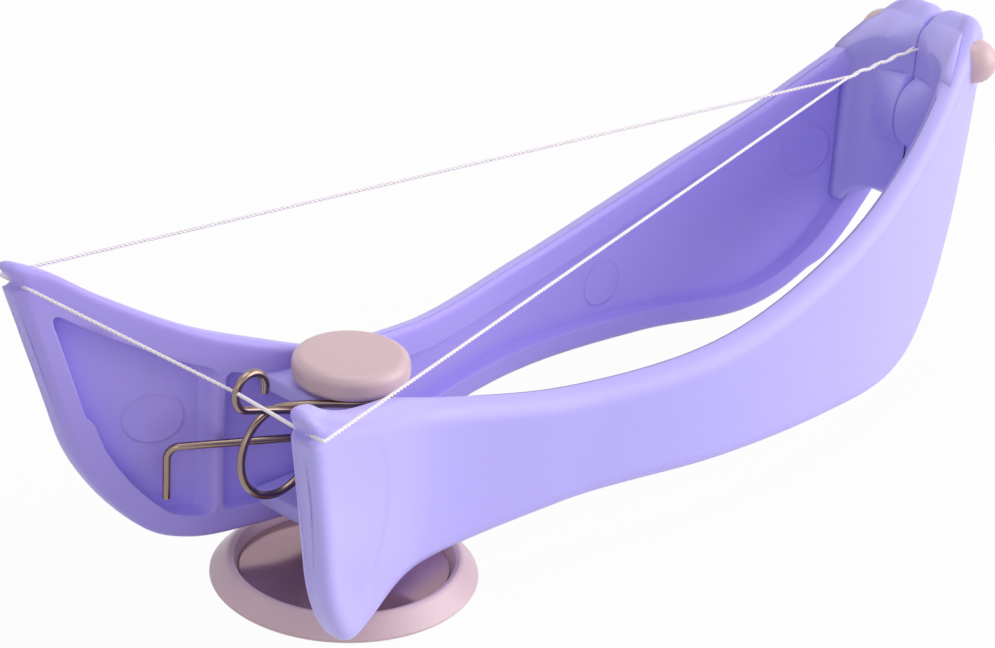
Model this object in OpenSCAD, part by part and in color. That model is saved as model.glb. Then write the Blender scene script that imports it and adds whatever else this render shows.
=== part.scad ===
// Hand-held facial hair threading tool: two sprung arms on one upright pivot, so
// pressing the wings together opens the tips.
// The tool stands on its dish: the origin is the centre of the dish's underside,
// +X runs to the closed tips, +Y to the rear arm and +Z up the pivot.

/* [Arms] */
// Distance from the pivot back to the wing ends
wing_reach = 33.6; // [30:0.2:37]
// Distance from the pivot forward to the tips
tip_reach = 121.8; // [110:0.2:135]
// Half width over the wing ends
wing_half = 29; // [24:0.5:34]
// Half width at the waist, beside the pivot
waist_half = 12.4; // [11.6:0.2:15]
// Half width at the widest place ahead of the pivot
bow_half = 19.8; // [17:0.2:24]
// Half width at the tips
tip_half = 5.6; // [5:0.1:7]
// Height of the wing's top corner
wing_top = 44.2; // [42:0.2:48]
// Height of the arm's top edge at the pivot
waist_top = 28.4; // [28:0.2:31]
// Height of the top edge where it dips ahead of the pivot
dip_top = 22.9; // [21:0.1:25]
// Height of the tips
tip_top = 49.4; // [47:0.2:54]
// Height of the lower edge at the pivot
waist_bottom = 5.4; // [4.8:0.1:5.6]
// Height of the lower edge where it arches ahead of the pivot
arch_bottom = 7.3; // [6:0.1:9]
// Lowest height of the belly near the tips
belly_bottom = 3.6; // [2:0.1:5]
// Depth of the wing's rim, from the outer face inwards
wing_depth = 4.8; // [4:0.1:6]
// Depth of the rim ahead of the pivot
arm_depth = 3.5; // [3:0.1:5]
// Thickness of the web behind the rim
web_t = 1.8; // [1.2:0.1:2.6]
// Width of the rim along the top edge
rim_top = 4.2; // [3:0.1:5]
// Width of the rim along the lower edge
rim_bottom = 3.2; // [2.4:0.1:4]
// Width of the rim at the wing's end, along the top edge
rim_end = 5; // [4:0.1:6]
// Radius of the rounded outer edges
edge_r = 2.6; // [1.5:0.1:3]
// Corner radius of the hollows in the inner face
hollow_r = 3; // [1:0.1:4]
// Width of the rib across each wing's hollow
rib_w = 2.2; // [1.4:0.1:3]
// Gap between the closed tips
tip_gap = 0.1; // [0.1:0.05:0.5]

/* [Tips] */
// Radius of the round pad inside each tip
pad_r = 6.2; // [5:0.1:7]
// Height of the tips above the pad's centre
pad_drop = 14.6; // [12:0.2:17]
// Length of the solid block at each tip
block_len = 10.2; // [9:0.2:13]
// Length over which the inner face slopes up to the block
block_slope = 3.4; // [2:0.2:4]
// Radius of the anchor button on each tip
button_r = 3.2; // [2.6:0.1:3.6]
// Height of the tips above the anchor button
button_drop = 5.9; // [5:0.1:7.4]
// Distance of the button from the end of the tip
button_back = 6.6; // [6.2:0.1:7.6]
// Clearance of the button in its seat
button_gap = 0.15; // [0.1:0.05:0.3]
// Radius of the button's stem
stem_r = 1; // [0.8:0.1:1.4]
// Length of the stem below the ball
stem_len = 2.2; // [1.5:0.1:2.6]
// Radius of the thread hole through each tip
thread_hole_r = 0.6; // [0.4:0.05:0.8]

/* [Thread notch] */
// Height of the wing's top corner above the notch
notch_drop = 3.4; // [3:0.1:6]
// Depth of the notch from the wing's end
notch_depth = 2; // [1.5:0.1:3.5]
// Width of the notch at its mouth
notch_mouth = 3; // [2:0.1:4]
// Radius at the bottom of the notch
notch_r = 0.6; // [0.4:0.05:0.9]

/* [Pivot] */
// Radius of the pivot post
post_r = 2.6; // [2:0.1:3]
// Running clearance of the post in the ears
post_gap = 0.05; // [0.02:0.01:0.1]
// Outer radius of the hinge ears
ear_r = 5.5; // [4.8:0.1:5.6]
// Thickness of one hinge ear
ear_t = 2.1; // [1.6:0.1:2.4]
// Gap between neighbouring ears
ear_gap = 0.1; // [0.05:0.05:0.3]
// Height of the underside of the lowest ear
ear_z = 5.8; // [5.6:0.1:6.2]
// Height of the top of the highest ear
ear_top = 26.4; // [25.6:0.1:26.8]

/* [Cap and dish] */
// Largest radius of the cap
cap_r = 7.3; // [6.5:0.1:8]
// Radius of the cap's flat top
cap_top_r = 5.9; // [4.5:0.1:6.2]
// Height of the cap
cap_h = 3.4; // [2.6:0.1:4.5]
// Depth of the post in the cap
cap_bore = 1.6; // [1:0.1:2]
// Gap between the highest ear and the cap
cap_lift = 1.3; // [1.2:0.1:1.8]
// Radius of the dish at its foot
dish_r = 17; // [15:0.2:20]
// Radius of the dish's opening
dish_open_r = 13.9; // [12:0.1:14.5]
// Height of the dish's rim
dish_h = 3; // [2.4:0.1:3.4]
// Thickness of the dish's floor
dish_floor = 1; // [0.8:0.1:1.4]
// Slope of the dish's inner wall, as a radial step
dish_step = 0.6; // [0.2:0.1:1.2]
// Radius of the hub under the ears
hub_r = 4.4; // [3.6:0.1:4.7]
// Thickness of the glossy disc in the dish
disc_t = 0.4; // [0.3:0.1:0.6]
// Clearance of the disc round its edges
disc_gap = 0.1; // [0.05:0.05:0.3]

/* [Wires and thread] */
// Diameter of the spring wires
wire_d = 1; // [0.8:0.05:1.1]
// Turns of the arm spring
spring_turns = 5; // [3:1:7]
// Clearance of the arm spring round the post
spring_gap = 0.3; // [0.2:0.05:0.5]
// Height of the spring's lower leg
leg_z = 18.2; // [15:0.1:19]
// Distance from the pivot to the bend of each spring leg
leg_reach = 17; // [14:0.2:19]
// Length of the bent end of each spring leg
leg_drop = 7; // [4:0.2:8]
// Clearance of the spring legs over the ribs
leg_gap = 0.1; // [0.1:0.05:0.4]
// Radius of the hook wire's turn under the cap
hook_coil_r = 5.6; // [5:0.1:6]
// Radius of the upright loop in the hook wire
loop_r = 5.6; // [4.5:0.1:6]
// Length of the straight shank from the loop to the eye
shank_len = 7.9; // [6:0.1:9]
// Radius of the hook's eye
eye_r = 2.35; // [1.8:0.05:2.8]
// Diameter of the thread
thread_d = 0.5; // [0.3:0.05:0.6]

/* [Hidden] */
$fn = 96;

lavender = [0.72, 0.68, 0.93];
pink = [0.85, 0.70, 0.72];
mauve = [0.55, 0.42, 0.45];
nickel = [0.72, 0.66, 0.58];
cotton = [0.96, 0.90, 0.92];

depth_from = 12;
depth_over = 30;
fillet_steps = 3;
face_steps = 2;
span_steps = 2;
tube_sides = 8;
cut_over = 1;

// Rows of the side view, from the wing's end to the tip: the two ends of each cross-section
lower_edge = [
    [-wing_reach + 6.4, wing_top / 2 - 1.8],
    [-wing_reach + 10, waist_bottom + 8.6],
    [-wing_reach + 14.4, waist_bottom + 1.6],
    [-wing_reach + 20.1, waist_bottom - 0.8],
    [-wing_reach + 29.6, waist_bottom - 0.3],
    [8, waist_bottom + 0.5],
    [28, arch_bottom],
    [tip_reach * 0.42, arch_bottom - 0.9],
    [tip_reach * 0.61, belly_bottom + 1.2],
    [tip_reach - 28, belly_bottom],
    [tip_reach - 16.6, belly_bottom + 5.4],
    [tip_reach - 9, belly_bottom + 15.4],
    [tip_reach - 3.6, belly_bottom + 27.6],
    [tip_reach - 0.8, tip_top - 9.2],
    [tip_reach, tip_top - 6.2]
];
upper_edge = [
    [-wing_reach + 0.4, wing_top],
    [-wing_reach + 5.4, wing_top - 2.1],
    [-wing_reach + 11.1, wing_top - 5.9],
    [-wing_reach + 20.1, wing_top - 10.8],
    [-wing_reach + 29.6, waist_top + 1.6],
    [8, waist_top - 2.2],
    [28, dip_top],
    [tip_reach * 0.42, dip_top + 0.7],
    [tip_reach * 0.6, dip_top + 5.6],
    [tip_reach - 30.8, tip_top - 14.6],
    [tip_reach - 18.8, tip_top - 8.4],
    [tip_reach - 10.8, tip_top - 3.4],
    [tip_reach - 5.5, tip_top],
    [tip_reach - 2.2, tip_top - 1],
    [tip_reach - 0.3, tip_top - 3.8]
];
rows = len(lower_edge) - 1;

// Half width of the outer face along X, seen from above
plan_edge = [
    [-wing_reach, wing_half],
    [-wing_reach * 0.65, wing_half * 0.57 + waist_half * 0.48],
    [-wing_reach * 0.32, wing_half * 0.22 + waist_half * 0.82],
    [2, waist_half],
    [tip_reach * 0.19, waist_half + 2.8],
    [tip_reach * 0.41, bow_half],
    [tip_reach * 0.63, bow_half - 0.7],
    [tip_reach - 26.3, bow_half - 4.5],
    [tip_reach - 10.8, tip_half + 4.6],
    [tip_reach, tip_half]
];

// Smooth curve through a list of points, with t counting the points
function along(p, t) =
    let (i = min(floor(t), len(p) - 2), f = t - i,
         a = p[max(i - 1, 0)], b = p[i], c = p[i + 1], d = p[min(i + 2, len(p) - 1)])
    (2 * b + (c - a) * f + (2 * a - 5 * b + 4 * c - d) * f * f + (3 * b - a - 3 * c + d) * f * f * f) / 2;

// Smooth height of a list of [x, y] points at x
function span_at(p, x, i = 0) = (i >= len(p) - 2 || x < p[i + 1].x) ? i : span_at(p, x, i + 1);
function steepness(p, i) =
    let (a = max(i - 1, 0), b = min(i + 1, len(p) - 1)) (p[b].y - p[a].y) / (p[b].x - p[a].x);
function height_at(p, x) =
    let (i = span_at(p, x), h = p[i + 1].x - p[i].x, f = (x - p[i].x) / h,
         m0 = steepness(p, i) * h, m1 = steepness(p, i + 1) * h)
    p[i].y * (1 + 2 * f) * (1 - f) * (1 - f) + m0 * f * (1 - f) * (1 - f)
    + p[i + 1].y * f * f * (3 - 2 * f) - m1 * f * f * (1 - f);
function outer_y(x) = height_at(plan_edge, x);
function inner_y(x) = outer_y(x) - depth_at(x);

// Triangles that skin a list of equal rings, each ring turning left as seen from the last one
function skin(n, m) = concat(
    [for (i = [0:n - 2], k = [0:m - 1])
        each [[i * m + k, (i + 1) * m + k, (i + 1) * m + (k + 1) % m],
              [i * m + k, (i + 1) * m + (k + 1) % m, i * m + (k + 1) % m]]],
    [[for (k = [0:m - 1]) k]],
    [[for (k = [m - 1:-1:0]) (n - 1) * m + k]]);
module loft(rings) {
    polyhedron(points = [for (r = rings) each r], faces = skin(len(rings), len(rings[0])));
}

// Point of the rear arm at station t, e above the lower edge and d in from the outer face
function station_height(t) = norm(along(upper_edge, t) - along(lower_edge, t));
function skew(edge, t) =
    let (s = min(t, rows - 0.05), way = along(edge, s + 0.05) - along(edge, s),
         cross_way = along(upper_edge, t) - along(lower_edge, t))
    max(0.35, abs(way.x * cross_way.y - way.y * cross_way.x) / norm(way) / norm(cross_way));
function depth_at(x) =
    let (f = min(1, max(0, (x + depth_from) / depth_over)))
    wing_depth + (arm_depth - wing_depth) * f * f * (3 - 2 * f);
function arm_point(t, e, d) =
    let (b = along(lower_edge, t), q = b + (along(upper_edge, t) - b) * e / station_height(t))
    [q.x, outer_y(q.x) - d, q.y];
function inner_point(t, e) = let (q = arm_point(t, e, 0)) [q.x, inner_y(q.x), q.z];
// Cross-section with rounded outer edges: end is the least inset of its outer face
function arm_ring(t, end) =
    let (h = station_height(t), low = min(edge_r / skew(lower_edge, t), h * 0.44),
         high = min(edge_r / skew(upper_edge, t), h * 0.44))
    concat(
        [for (k = [0:fillet_steps]) let (a = 90 - 90 * k / fillet_steps)
            arm_point(t, low * (1 - sin(a)), max(edge_r * (1 - cos(a)), end))],
        [for (k = [1:face_steps - 1]) arm_point(t, low + (h - low - high) * k / face_steps, end)],
        [for (k = [0:fillet_steps]) let (a = 90 * k / fillet_steps)
            arm_point(t, h - high * (1 - sin(a)), max(edge_r * (1 - cos(a)), end))],
        [for (k = [0:face_steps]) let (e = h * (1 - k / face_steps)) inner_point(t, e)]);

// Stations close together over the rounded ends, and even between them
end_turns = [for (k = [0:fillet_steps - 1]) 90 - 90 * k / fillet_steps];
function end_step(a, length) = edge_r * (1 - sin(a)) / length;
first_len = norm(upper_edge[1] - upper_edge[0]);
last_len = norm(lower_edge[rows] - lower_edge[rows - 1]);
arm_stations = concat(
    [for (a = end_turns) [end_step(a, first_len), edge_r * (1 - cos(a))]],
    [for (k = [span_steps:rows * span_steps - span_steps]) [k / span_steps, 0]],
    [for (a = [for (k = [fillet_steps - 1:-1:0]) end_turns[k]])
        [rows - min(end_step(a, last_len), 0.9), edge_r * (1 - cos(a))]]);

module arm_slab() {
    loft([for (s = arm_stations) arm_ring(s[0], s[1])]);
}

// Side-view outline through stations, each a given width inside the lower and the upper edge
function side_point(t, e) = let (q = arm_point(t, e, 0)) [q.x, q.z];
function side_outline(stations, low, high) = concat(
    [for (s = stations) side_point(s[0], low / skew(lower_edge, s[0]) + s[1])],
    [for (k = [len(stations) - 1:-1:0]) let (s = stations[k])
        side_point(s[0], station_height(s[0]) - high / skew(upper_edge, s[0]) - s[1])]);
module along_y(from, to) {
    translate([0, to, 0]) rotate([90, 0, 0]) linear_extrude(height = to - from) children();
}

// Hollow of the inner face between stations a and b, with rounded corners and a floor along the web
function corner_inset(dist) = dist >= hollow_r ? 0 : hollow_r - sqrt(dist * (2 * hollow_r - dist));
corner_turns = [30, 60, 90];
function hollow_stations(a, b) =
    let (size = norm(along(upper_edge, b) - along(upper_edge, a)) / (b - a),
         steps = max(1, round((b - a) * span_steps)), first = hollow_r / size,
         turns = [for (g = corner_turns) hollow_r * (1 - cos(g))])
    concat([for (d = turns) [a + d / size, corner_inset(d)]],
           steps < 2 ? [] : [for (k = [1:steps - 1]) [a + first + (b - a - 2 * first) * k / steps, 0]],
           [for (k = [len(turns) - 1:-1:0]) [b - turns[k] / size, corner_inset(turns[k])]]);
floor_step = 3.5;
module hollow(a, b) {
    x0 = along(upper_edge, a).x - hollow_r;
    x1 = max(along(upper_edge, b).x, along(lower_edge, b).x) + hollow_r;
    n = ceil((x1 - x0) / floor_step);
    xs = [for (k = [0:n]) x0 + (x1 - x0) * k / n];
    intersection() {
        along_y(0, wing_half) polygon(side_outline(hollow_stations(a, b), rim_bottom, rim_top));
        linear_extrude(height = tip_top) polygon(concat(
            [for (x = xs) [x, inner_y(x) - cut_over]],
            [for (k = [n:-1:0]) [xs[k], outer_y(xs[k]) - web_t]]));
    }
}
wing_hollow_from = rim_end / first_len;
rib_at = 3.32;
rib_half = rib_w / 2 / (28 - 18.5);
bay_end = 4.1;
front_hollow_from = 5.2;
front_hollow_to = rows - 3.35;

// Solid block and round pad where the tips meet, set a little inside the rounded outline.
// The inner face slopes up to the block, which reaches the mid-plane but for the gap.
block_inset = 0.4;
block_overlap = arm_depth - web_t + 0.4;
block_steps = 14;
block_x = tip_reach - block_len;
slope_x = block_x - block_slope;
slope_steps = 3;
slope_power = 1.4;
pad_x = block_x + 2;
pad_z = tip_top - pad_drop;
module tip_outline() {
    first = rows - 5.5;
    polygon(side_outline([for (k = [0:block_steps]) [first + (rows - 0.15 - first) * k / block_steps, 0]],
                         block_inset, block_inset));
}
module tip_plan(x0, face) {
    linear_extrude(height = tip_top) polygon(concat(face,
        [for (k = [4:-1:0]) let (x = x0 + (tip_reach - x0) * k / 4) [x, inner_y(x) + block_overlap]]));
}
module tip_block() {
    rise = inner_y(slope_x) - tip_gap / 2;
    intersection() {
        along_y(0, wing_half) intersection() {
            tip_outline();
            translate([slope_x, 0]) square([block_len + block_slope, tip_top]);
        }
        tip_plan(slope_x, concat(
            [for (k = [0:slope_steps]) let (f = k / slope_steps)
                [slope_x + block_slope * f, tip_gap / 2 + rise * pow(1 - f, slope_power)]],
            [[tip_reach, tip_gap / 2]]));
    }
    intersection() {
        along_y(0, wing_half) intersection() {
            tip_outline();
            translate([pad_x, pad_z]) circle(r = pad_r, $fn = 48);
        }
        tip_plan(pad_x - pad_r, [[pad_x - pad_r, tip_gap / 2], [tip_reach, tip_gap / 2]]);
    }
}

// Anchor button: a ball on the outer side of each tip, with a stem into the block
button_x = tip_reach - button_back;
button_y = outer_y(button_x) + 0.3;
button_z = tip_top - button_drop;
module button_stem(r) {
    translate(button_mid) rotate([90, 0, 0]) cylinder(r = r, h = button_r + stem_len, $fn = 32);
}
module button() {
    color(pink) union() {
        translate(button_mid) sphere(r = button_r, $fn = 48);
        button_stem(stem_r);
    }
}
// Thread hole from the button's seat to the block's inner edge
button_mid = [button_x, button_y, button_z];
hole_exit = [block_x, thread_d * 0.8, button_z + 0.2];
hole_way = hole_exit - button_mid;
module thread_hole() {
    translate(button_mid) rotate([0, acos(hole_way.z / norm(hole_way)), atan2(hole_way.y, hole_way.x)])
        cylinder(r = thread_hole_r, h = norm(hole_way) + 2 * cut_over, $fn = 24);
}

// Notch that carries the thread round the wing's end
notch_z = wing_top - notch_drop;
notch_x = -wing_reach + 0.4 + notch_drop * 0.24 + notch_depth;
module thread_notch() {
    translate([0, wing_half + cut_over, 0]) rotate([90, 0, 0]) linear_extrude(height = wing_half) union() {
        translate([notch_x - notch_r, notch_z]) circle(r = notch_r, $fn = 24);
        polygon([[notch_x - notch_r, notch_z - notch_r], [notch_x - notch_r, notch_z + notch_r],
                 [notch_x - notch_depth - cut_over, notch_z + notch_mouth / 2],
                 [notch_x - notch_depth - cut_over, notch_z - notch_mouth / 2]]);
    }
}

module arm_shell() {
    difference() {
        union() {
            difference() {
                arm_slab();
                hollow(wing_hollow_from, rib_at - rib_half);
                hollow(rib_at + rib_half, bay_end);
                hollow(front_hollow_from, front_hollow_to);
            }
            tip_block();
        }
        thread_notch();
        thread_hole();
        translate(button_mid) sphere(r = button_r + button_gap, $fn = 48);
        button_stem(stem_r);
    }
}

// Hinge ear: a round eye on the pivot and a bridge out to the arm's web
module ear(z) {
    translate([0, 0, z]) linear_extrude(height = ear_t) union() {
        circle(r = ear_r);
        translate([-ear_r, 0]) square([2 * ear_r, waist_half - web_t / 2]);
    }
}
module ear_bore() {
    cylinder(r = post_r + post_gap, h = ear_top + cut_over);
}
ear_step = ear_t + ear_gap;
front_low_z = ear_z;
rear_low_z = ear_z + ear_step;
rear_high_z = ear_top - ear_t;
front_high_z = rear_high_z - ear_step;

module rear_arm() {
    color(lavender) difference() {
        union() {
            arm_shell();
            ear(rear_low_z);
            ear(rear_high_z);
        }
        ear_bore();
    }
}
module front_arm() {
    color(lavender) mirror([0, 1, 0]) difference() {
        union() {
            arm_shell();
            ear(front_low_z);
            ear(front_high_z);
        }
        ear_bore();
    }
}
module rear_button() {
    button();
}
module front_button() {
    mirror([0, 1, 0]) button();
}

// Dish: bevelled ring with a sunken floor and a hub that carries the ears
hub_top = ear_z - ear_gap;
dish_edge = 0.6;
module base_dish() {
    color(pink) difference() {
        rotate_extrude() polygon([
            [0, 0], [dish_r - dish_edge, 0], [dish_r, dish_edge],
            [dish_open_r + dish_edge * 1.6, dish_h - dish_edge / 3], [dish_open_r + dish_edge, dish_h],
            [dish_open_r, dish_h - dish_edge / 3], [dish_open_r - dish_step, dish_floor],
            [hub_r, dish_floor], [hub_r, hub_top - dish_edge], [hub_r - dish_edge, hub_top], [0, hub_top]]);
        translate([0, 0, dish_floor]) cylinder(r = post_r, h = hub_top);
    }
}
module dish_disc() {
    color(mauve) translate([0, 0, dish_floor]) difference() {
        cylinder(r = dish_open_r - dish_step - disc_gap, h = disc_t);
        translate([0, 0, -cut_over]) cylinder(r = hub_r + disc_gap, h = disc_t + 2 * cut_over);
    }
}

// Cap: a flat-topped round button pressed on the post
cap_z = ear_top + cap_lift;
cap_side_r = cap_r - cap_top_r;
module top_cap() {
    color(pink) difference() {
        union() {
            translate([0, 0, cap_z + cap_h - cap_side_r]) rotate_extrude() intersection() {
                union() {
                    square([cap_top_r, cap_side_r]);
                    translate([cap_top_r, 0]) circle(r = cap_side_r, $fn = 48);
                }
                square([cap_r, cap_side_r]);
            }
            translate([0, 0, cap_z]) rotate_extrude() polygon([
                [0, 0], [cap_r - cap_side_r / 2, 0], [cap_r, cap_side_r / 2],
                [cap_r, cap_h - cap_side_r], [0, cap_h - cap_side_r]]);
        }
        translate([0, 0, cap_z - cut_over]) cylinder(r = post_r, h = cap_bore + cut_over);
    }
}
module pivot_post() {
    color(nickel) translate([0, 0, dish_floor]) cylinder(r = post_r, h = cap_z + cap_bore - dish_floor);
}

// Tube along a list of points, its rings turned as little as possible
function unit(v) = v / norm(v);
function tangent(p, i) = unit(p[min(i + 1, len(p) - 1)] - p[max(i - 1, 0)]);
function square_to(n, t) = unit(n - (n * t) * t);
function normals(p) =
    let (t = tangent(p, 0), a = abs(t.z) < 0.9 ? [0, 0, 1] : [1, 0, 0])
    [for (i = 0, n = square_to(a, t); i < len(p); i = i + 1, n = square_to(n, tangent(p, min(i, len(p) - 1)))) n];
module tube(p, r) {
    n = normals(p);
    loft([for (i = [0:len(p) - 1]) let (t = tangent(p, i), b = cross(t, n[i]))
        [for (k = [0:tube_sides - 1]) let (a = 360 * k / tube_sides) p[i] + r * (cos(a) * n[i] + sin(a) * b)]]);
}
// Straight run between two points, without its first point
function run(a, b, steps) = [for (k = [1:steps]) a + (b - a) * k / steps];

// Arm spring: a close coil round the post with one leg over the rib of each wing
coil_r = post_r + spring_gap + wire_d / 2;
coil_pitch = wire_d * 1.1;
coil_steps = 20;
coil_z = leg_z - spring_turns * coil_pitch;
// Heading of a leg that leaves the coil squarely and runs along the wing's inner rim
leg_bend_y = inner_y(-leg_reach) - leg_gap - wire_d / 2;
leg_heading = atan2(leg_bend_y, -leg_reach);
leg_far = norm([leg_reach, leg_bend_y]);
leg_start = leg_heading - acos(coil_r / leg_far);
bend_r = 1.6 * wire_d;
function leg_end(z, side) =
    let (b = [-leg_reach, leg_bend_y, z], a = [coil_r * cos(leg_start), coil_r * sin(leg_start), z],
         u = unit(b - a))
    concat(run(a, b - u * bend_r, 4),
           [for (k = [1:3]) let (g = 30 * k) b - u * bend_r * (1 - sin(g)) + [0, 0, side * bend_r * (1 - cos(g))]],
           run(b + [0, 0, side * bend_r], b + [0, 0, side * leg_drop], 2));
function flip_y(p) = [for (q = p) [q.x, -q.y, q.z]];
function backwards(p) = [for (k = [len(p) - 1:-1:0]) p[k]];
coil_sweep = 360 * spring_turns - 2 * leg_start;
coil_count = round(coil_sweep / 360 * coil_steps);
spring_path = concat(
    backwards(flip_y(leg_end(coil_z, 1))),
    [for (k = [0:coil_count]) let (g = -leg_start - coil_sweep * k / coil_count)
        [coil_r * cos(g), coil_r * sin(g), coil_z + (leg_z - coil_z) * k / coil_count]],
    leg_end(leg_z, -1));
module arm_spring() {
    color(nickel) tube(spring_path, wire_d / 2);
}

// Hook wire: half a turn under the cap, an upright loop and an open eye for the thread.
// The loop and the eye lie in the plane between the arms.
hook_z = ear_top + wire_d / 2 + 0.1;
lead_turn = -135;
lead_from = 60;
loop_gap = 0.3;
loop_x = -ear_r - loop_gap - wire_d / 2 - loop_r;
loop_top = hook_z + 0.2;
loop_z = loop_top - loop_r;
loop_shift = 0.6 * wire_d;
loop_steps = 22;
shank_rise = 18;
eye_from = 270 - shank_rise;
eye_sweep = 272;
eye_steps = 12;
lead_end = [hook_coil_r * cos(lead_turn), hook_coil_r * sin(lead_turn), hook_z];
loop_start = [loop_x, loop_shift, loop_top];
loop_leave = 360 - shank_rise;
function loop_point(g) =
    [loop_x - loop_r * sin(g), loop_shift * (1 - 2 * g / loop_leave), loop_z + loop_r * cos(g)];
shank_start = loop_point(loop_leave);
shank_way = [-cos(shank_rise), 0, sin(shank_rise)];
eye_start = shank_start + shank_way * shank_len;
eye_mid = eye_start - eye_r * [cos(eye_from), 0, sin(eye_from)];
hook_path = concat(
    [for (k = [0:8]) let (g = lead_from + (lead_turn - lead_from) * k / 8)
        [hook_coil_r * cos(g), hook_coil_r * sin(g), hook_z]],
    [lead_end + [-1, 1, 0] * (loop_start.y - lead_end.y) * 0.45,
     lead_end + [-1, 1, 0] * (loop_start.y - lead_end.y) * 0.85 + [-0.1, -0.1, 0.1]],
    [for (k = [0:loop_steps]) loop_point(loop_leave * k / loop_steps)],
    [shank_start + shank_way * shank_len / 2],
    [for (k = [0:eye_steps]) let (g = eye_from - eye_sweep * k / eye_steps)
        eye_mid + eye_r * [cos(g), 0, sin(g)]]);
module thread_hook() {
    color(nickel) tube(hook_path, wire_d / 2);
}

// Thread: from the front button round both notches and the eye to the rear button
crossing_back = 25.8;
crossing_fall = 0.6;
twist_end = [tip_reach - crossing_back, 0, hole_exit.z - crossing_fall];
twist_from = [hole_exit.x - 1.5, 0, hole_exit.z];
twist_turns = 3;
twist_steps = 18;
twist_r = thread_d * 0.55;
thread_gap = 0.15;
button_side = button_mid + hole_way / norm(hole_way) * (button_r + thread_d / 2 + thread_gap);
notch_bottom = notch_x - notch_r;
notch_outer = [notch_bottom, outer_y(notch_bottom) + 0.4, notch_z];
notch_inner = [notch_bottom, inner_y(notch_bottom) - 0.3, notch_z];
eye_hold = eye_mid - [eye_r - wire_d / 2 - thread_d / 2 - thread_gap, 0, 0];
function twisted(phase) = [for (k = [0:twist_steps])
    let (g = 360 * twist_turns * k / twist_steps + phase, q = twist_from + (twist_end - twist_from) * k / twist_steps)
    q + twist_r * [0, cos(g), sin(g)]];
function half_thread(phase) = concat(
    flip_y([button_side, hole_exit]),
    twisted(phase),
    [notch_outer, notch_inner]);
thread_path = concat(half_thread(180), [eye_hold], backwards(flip_y(half_thread(180))));
module thread() {
    color(cotton) tube(thread_path, thread_d / 2);
}

rear_arm();
front_arm();
base_dish();
dish_disc();
pivot_post();
top_cap();
arm_spring();
thread_hook();
rear_button();
front_button();
thread();
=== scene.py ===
"""Moulded arms, spring wires, twisted thread and stage of a hand-held facial hair threading tool."""

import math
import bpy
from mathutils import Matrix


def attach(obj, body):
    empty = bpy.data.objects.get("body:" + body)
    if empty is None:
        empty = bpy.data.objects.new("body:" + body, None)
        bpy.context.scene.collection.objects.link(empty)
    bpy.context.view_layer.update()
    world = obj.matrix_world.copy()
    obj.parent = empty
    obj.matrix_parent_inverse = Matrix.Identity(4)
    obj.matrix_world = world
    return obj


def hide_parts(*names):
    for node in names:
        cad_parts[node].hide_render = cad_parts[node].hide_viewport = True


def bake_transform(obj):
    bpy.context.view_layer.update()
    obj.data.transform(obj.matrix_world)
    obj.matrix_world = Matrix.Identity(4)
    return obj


bl_info = {
    "name": "Facial Hair Threading Tool",
    "version": (1, 0, 0),
    "blender": (4, 5, 0),
    "location": "3D View > Sidebar > Threading Tool",
    "description": "Makes the arms, wires, thread and stage of a facial hair threading tool",
    "category": "Add Mesh",
}

import bmesh
import bpy
import numpy as np
from bpy.props import FloatProperty, FloatVectorProperty, IntProperty, PointerProperty
from mathutils import Matrix, Vector

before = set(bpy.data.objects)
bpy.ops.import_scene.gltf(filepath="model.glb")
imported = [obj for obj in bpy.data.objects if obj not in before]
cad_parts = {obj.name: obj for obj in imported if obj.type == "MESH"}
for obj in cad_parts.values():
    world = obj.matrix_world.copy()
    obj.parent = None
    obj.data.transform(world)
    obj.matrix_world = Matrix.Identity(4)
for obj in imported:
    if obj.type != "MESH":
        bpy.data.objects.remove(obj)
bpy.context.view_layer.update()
MM = 0.001


# Settings


def length(name, value, note):
    """A length property of the panel: given in millimetres, kept in metres."""
    return FloatProperty(name=name, description=note, default=value * MM, min=0.0, unit="LENGTH", precision=5)


def strength(name, value, note):
    """A strength of a light."""
    return FloatProperty(name=name, description=note, default=value, min=0.0)


def colour(name, value, note):
    """A colour property of the panel, as scene-linear red, green and blue."""
    return FloatVectorProperty(name=name, description=note, default=value, min=0.0, max=1.0, size=3,
                               subtype="COLOR")


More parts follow.
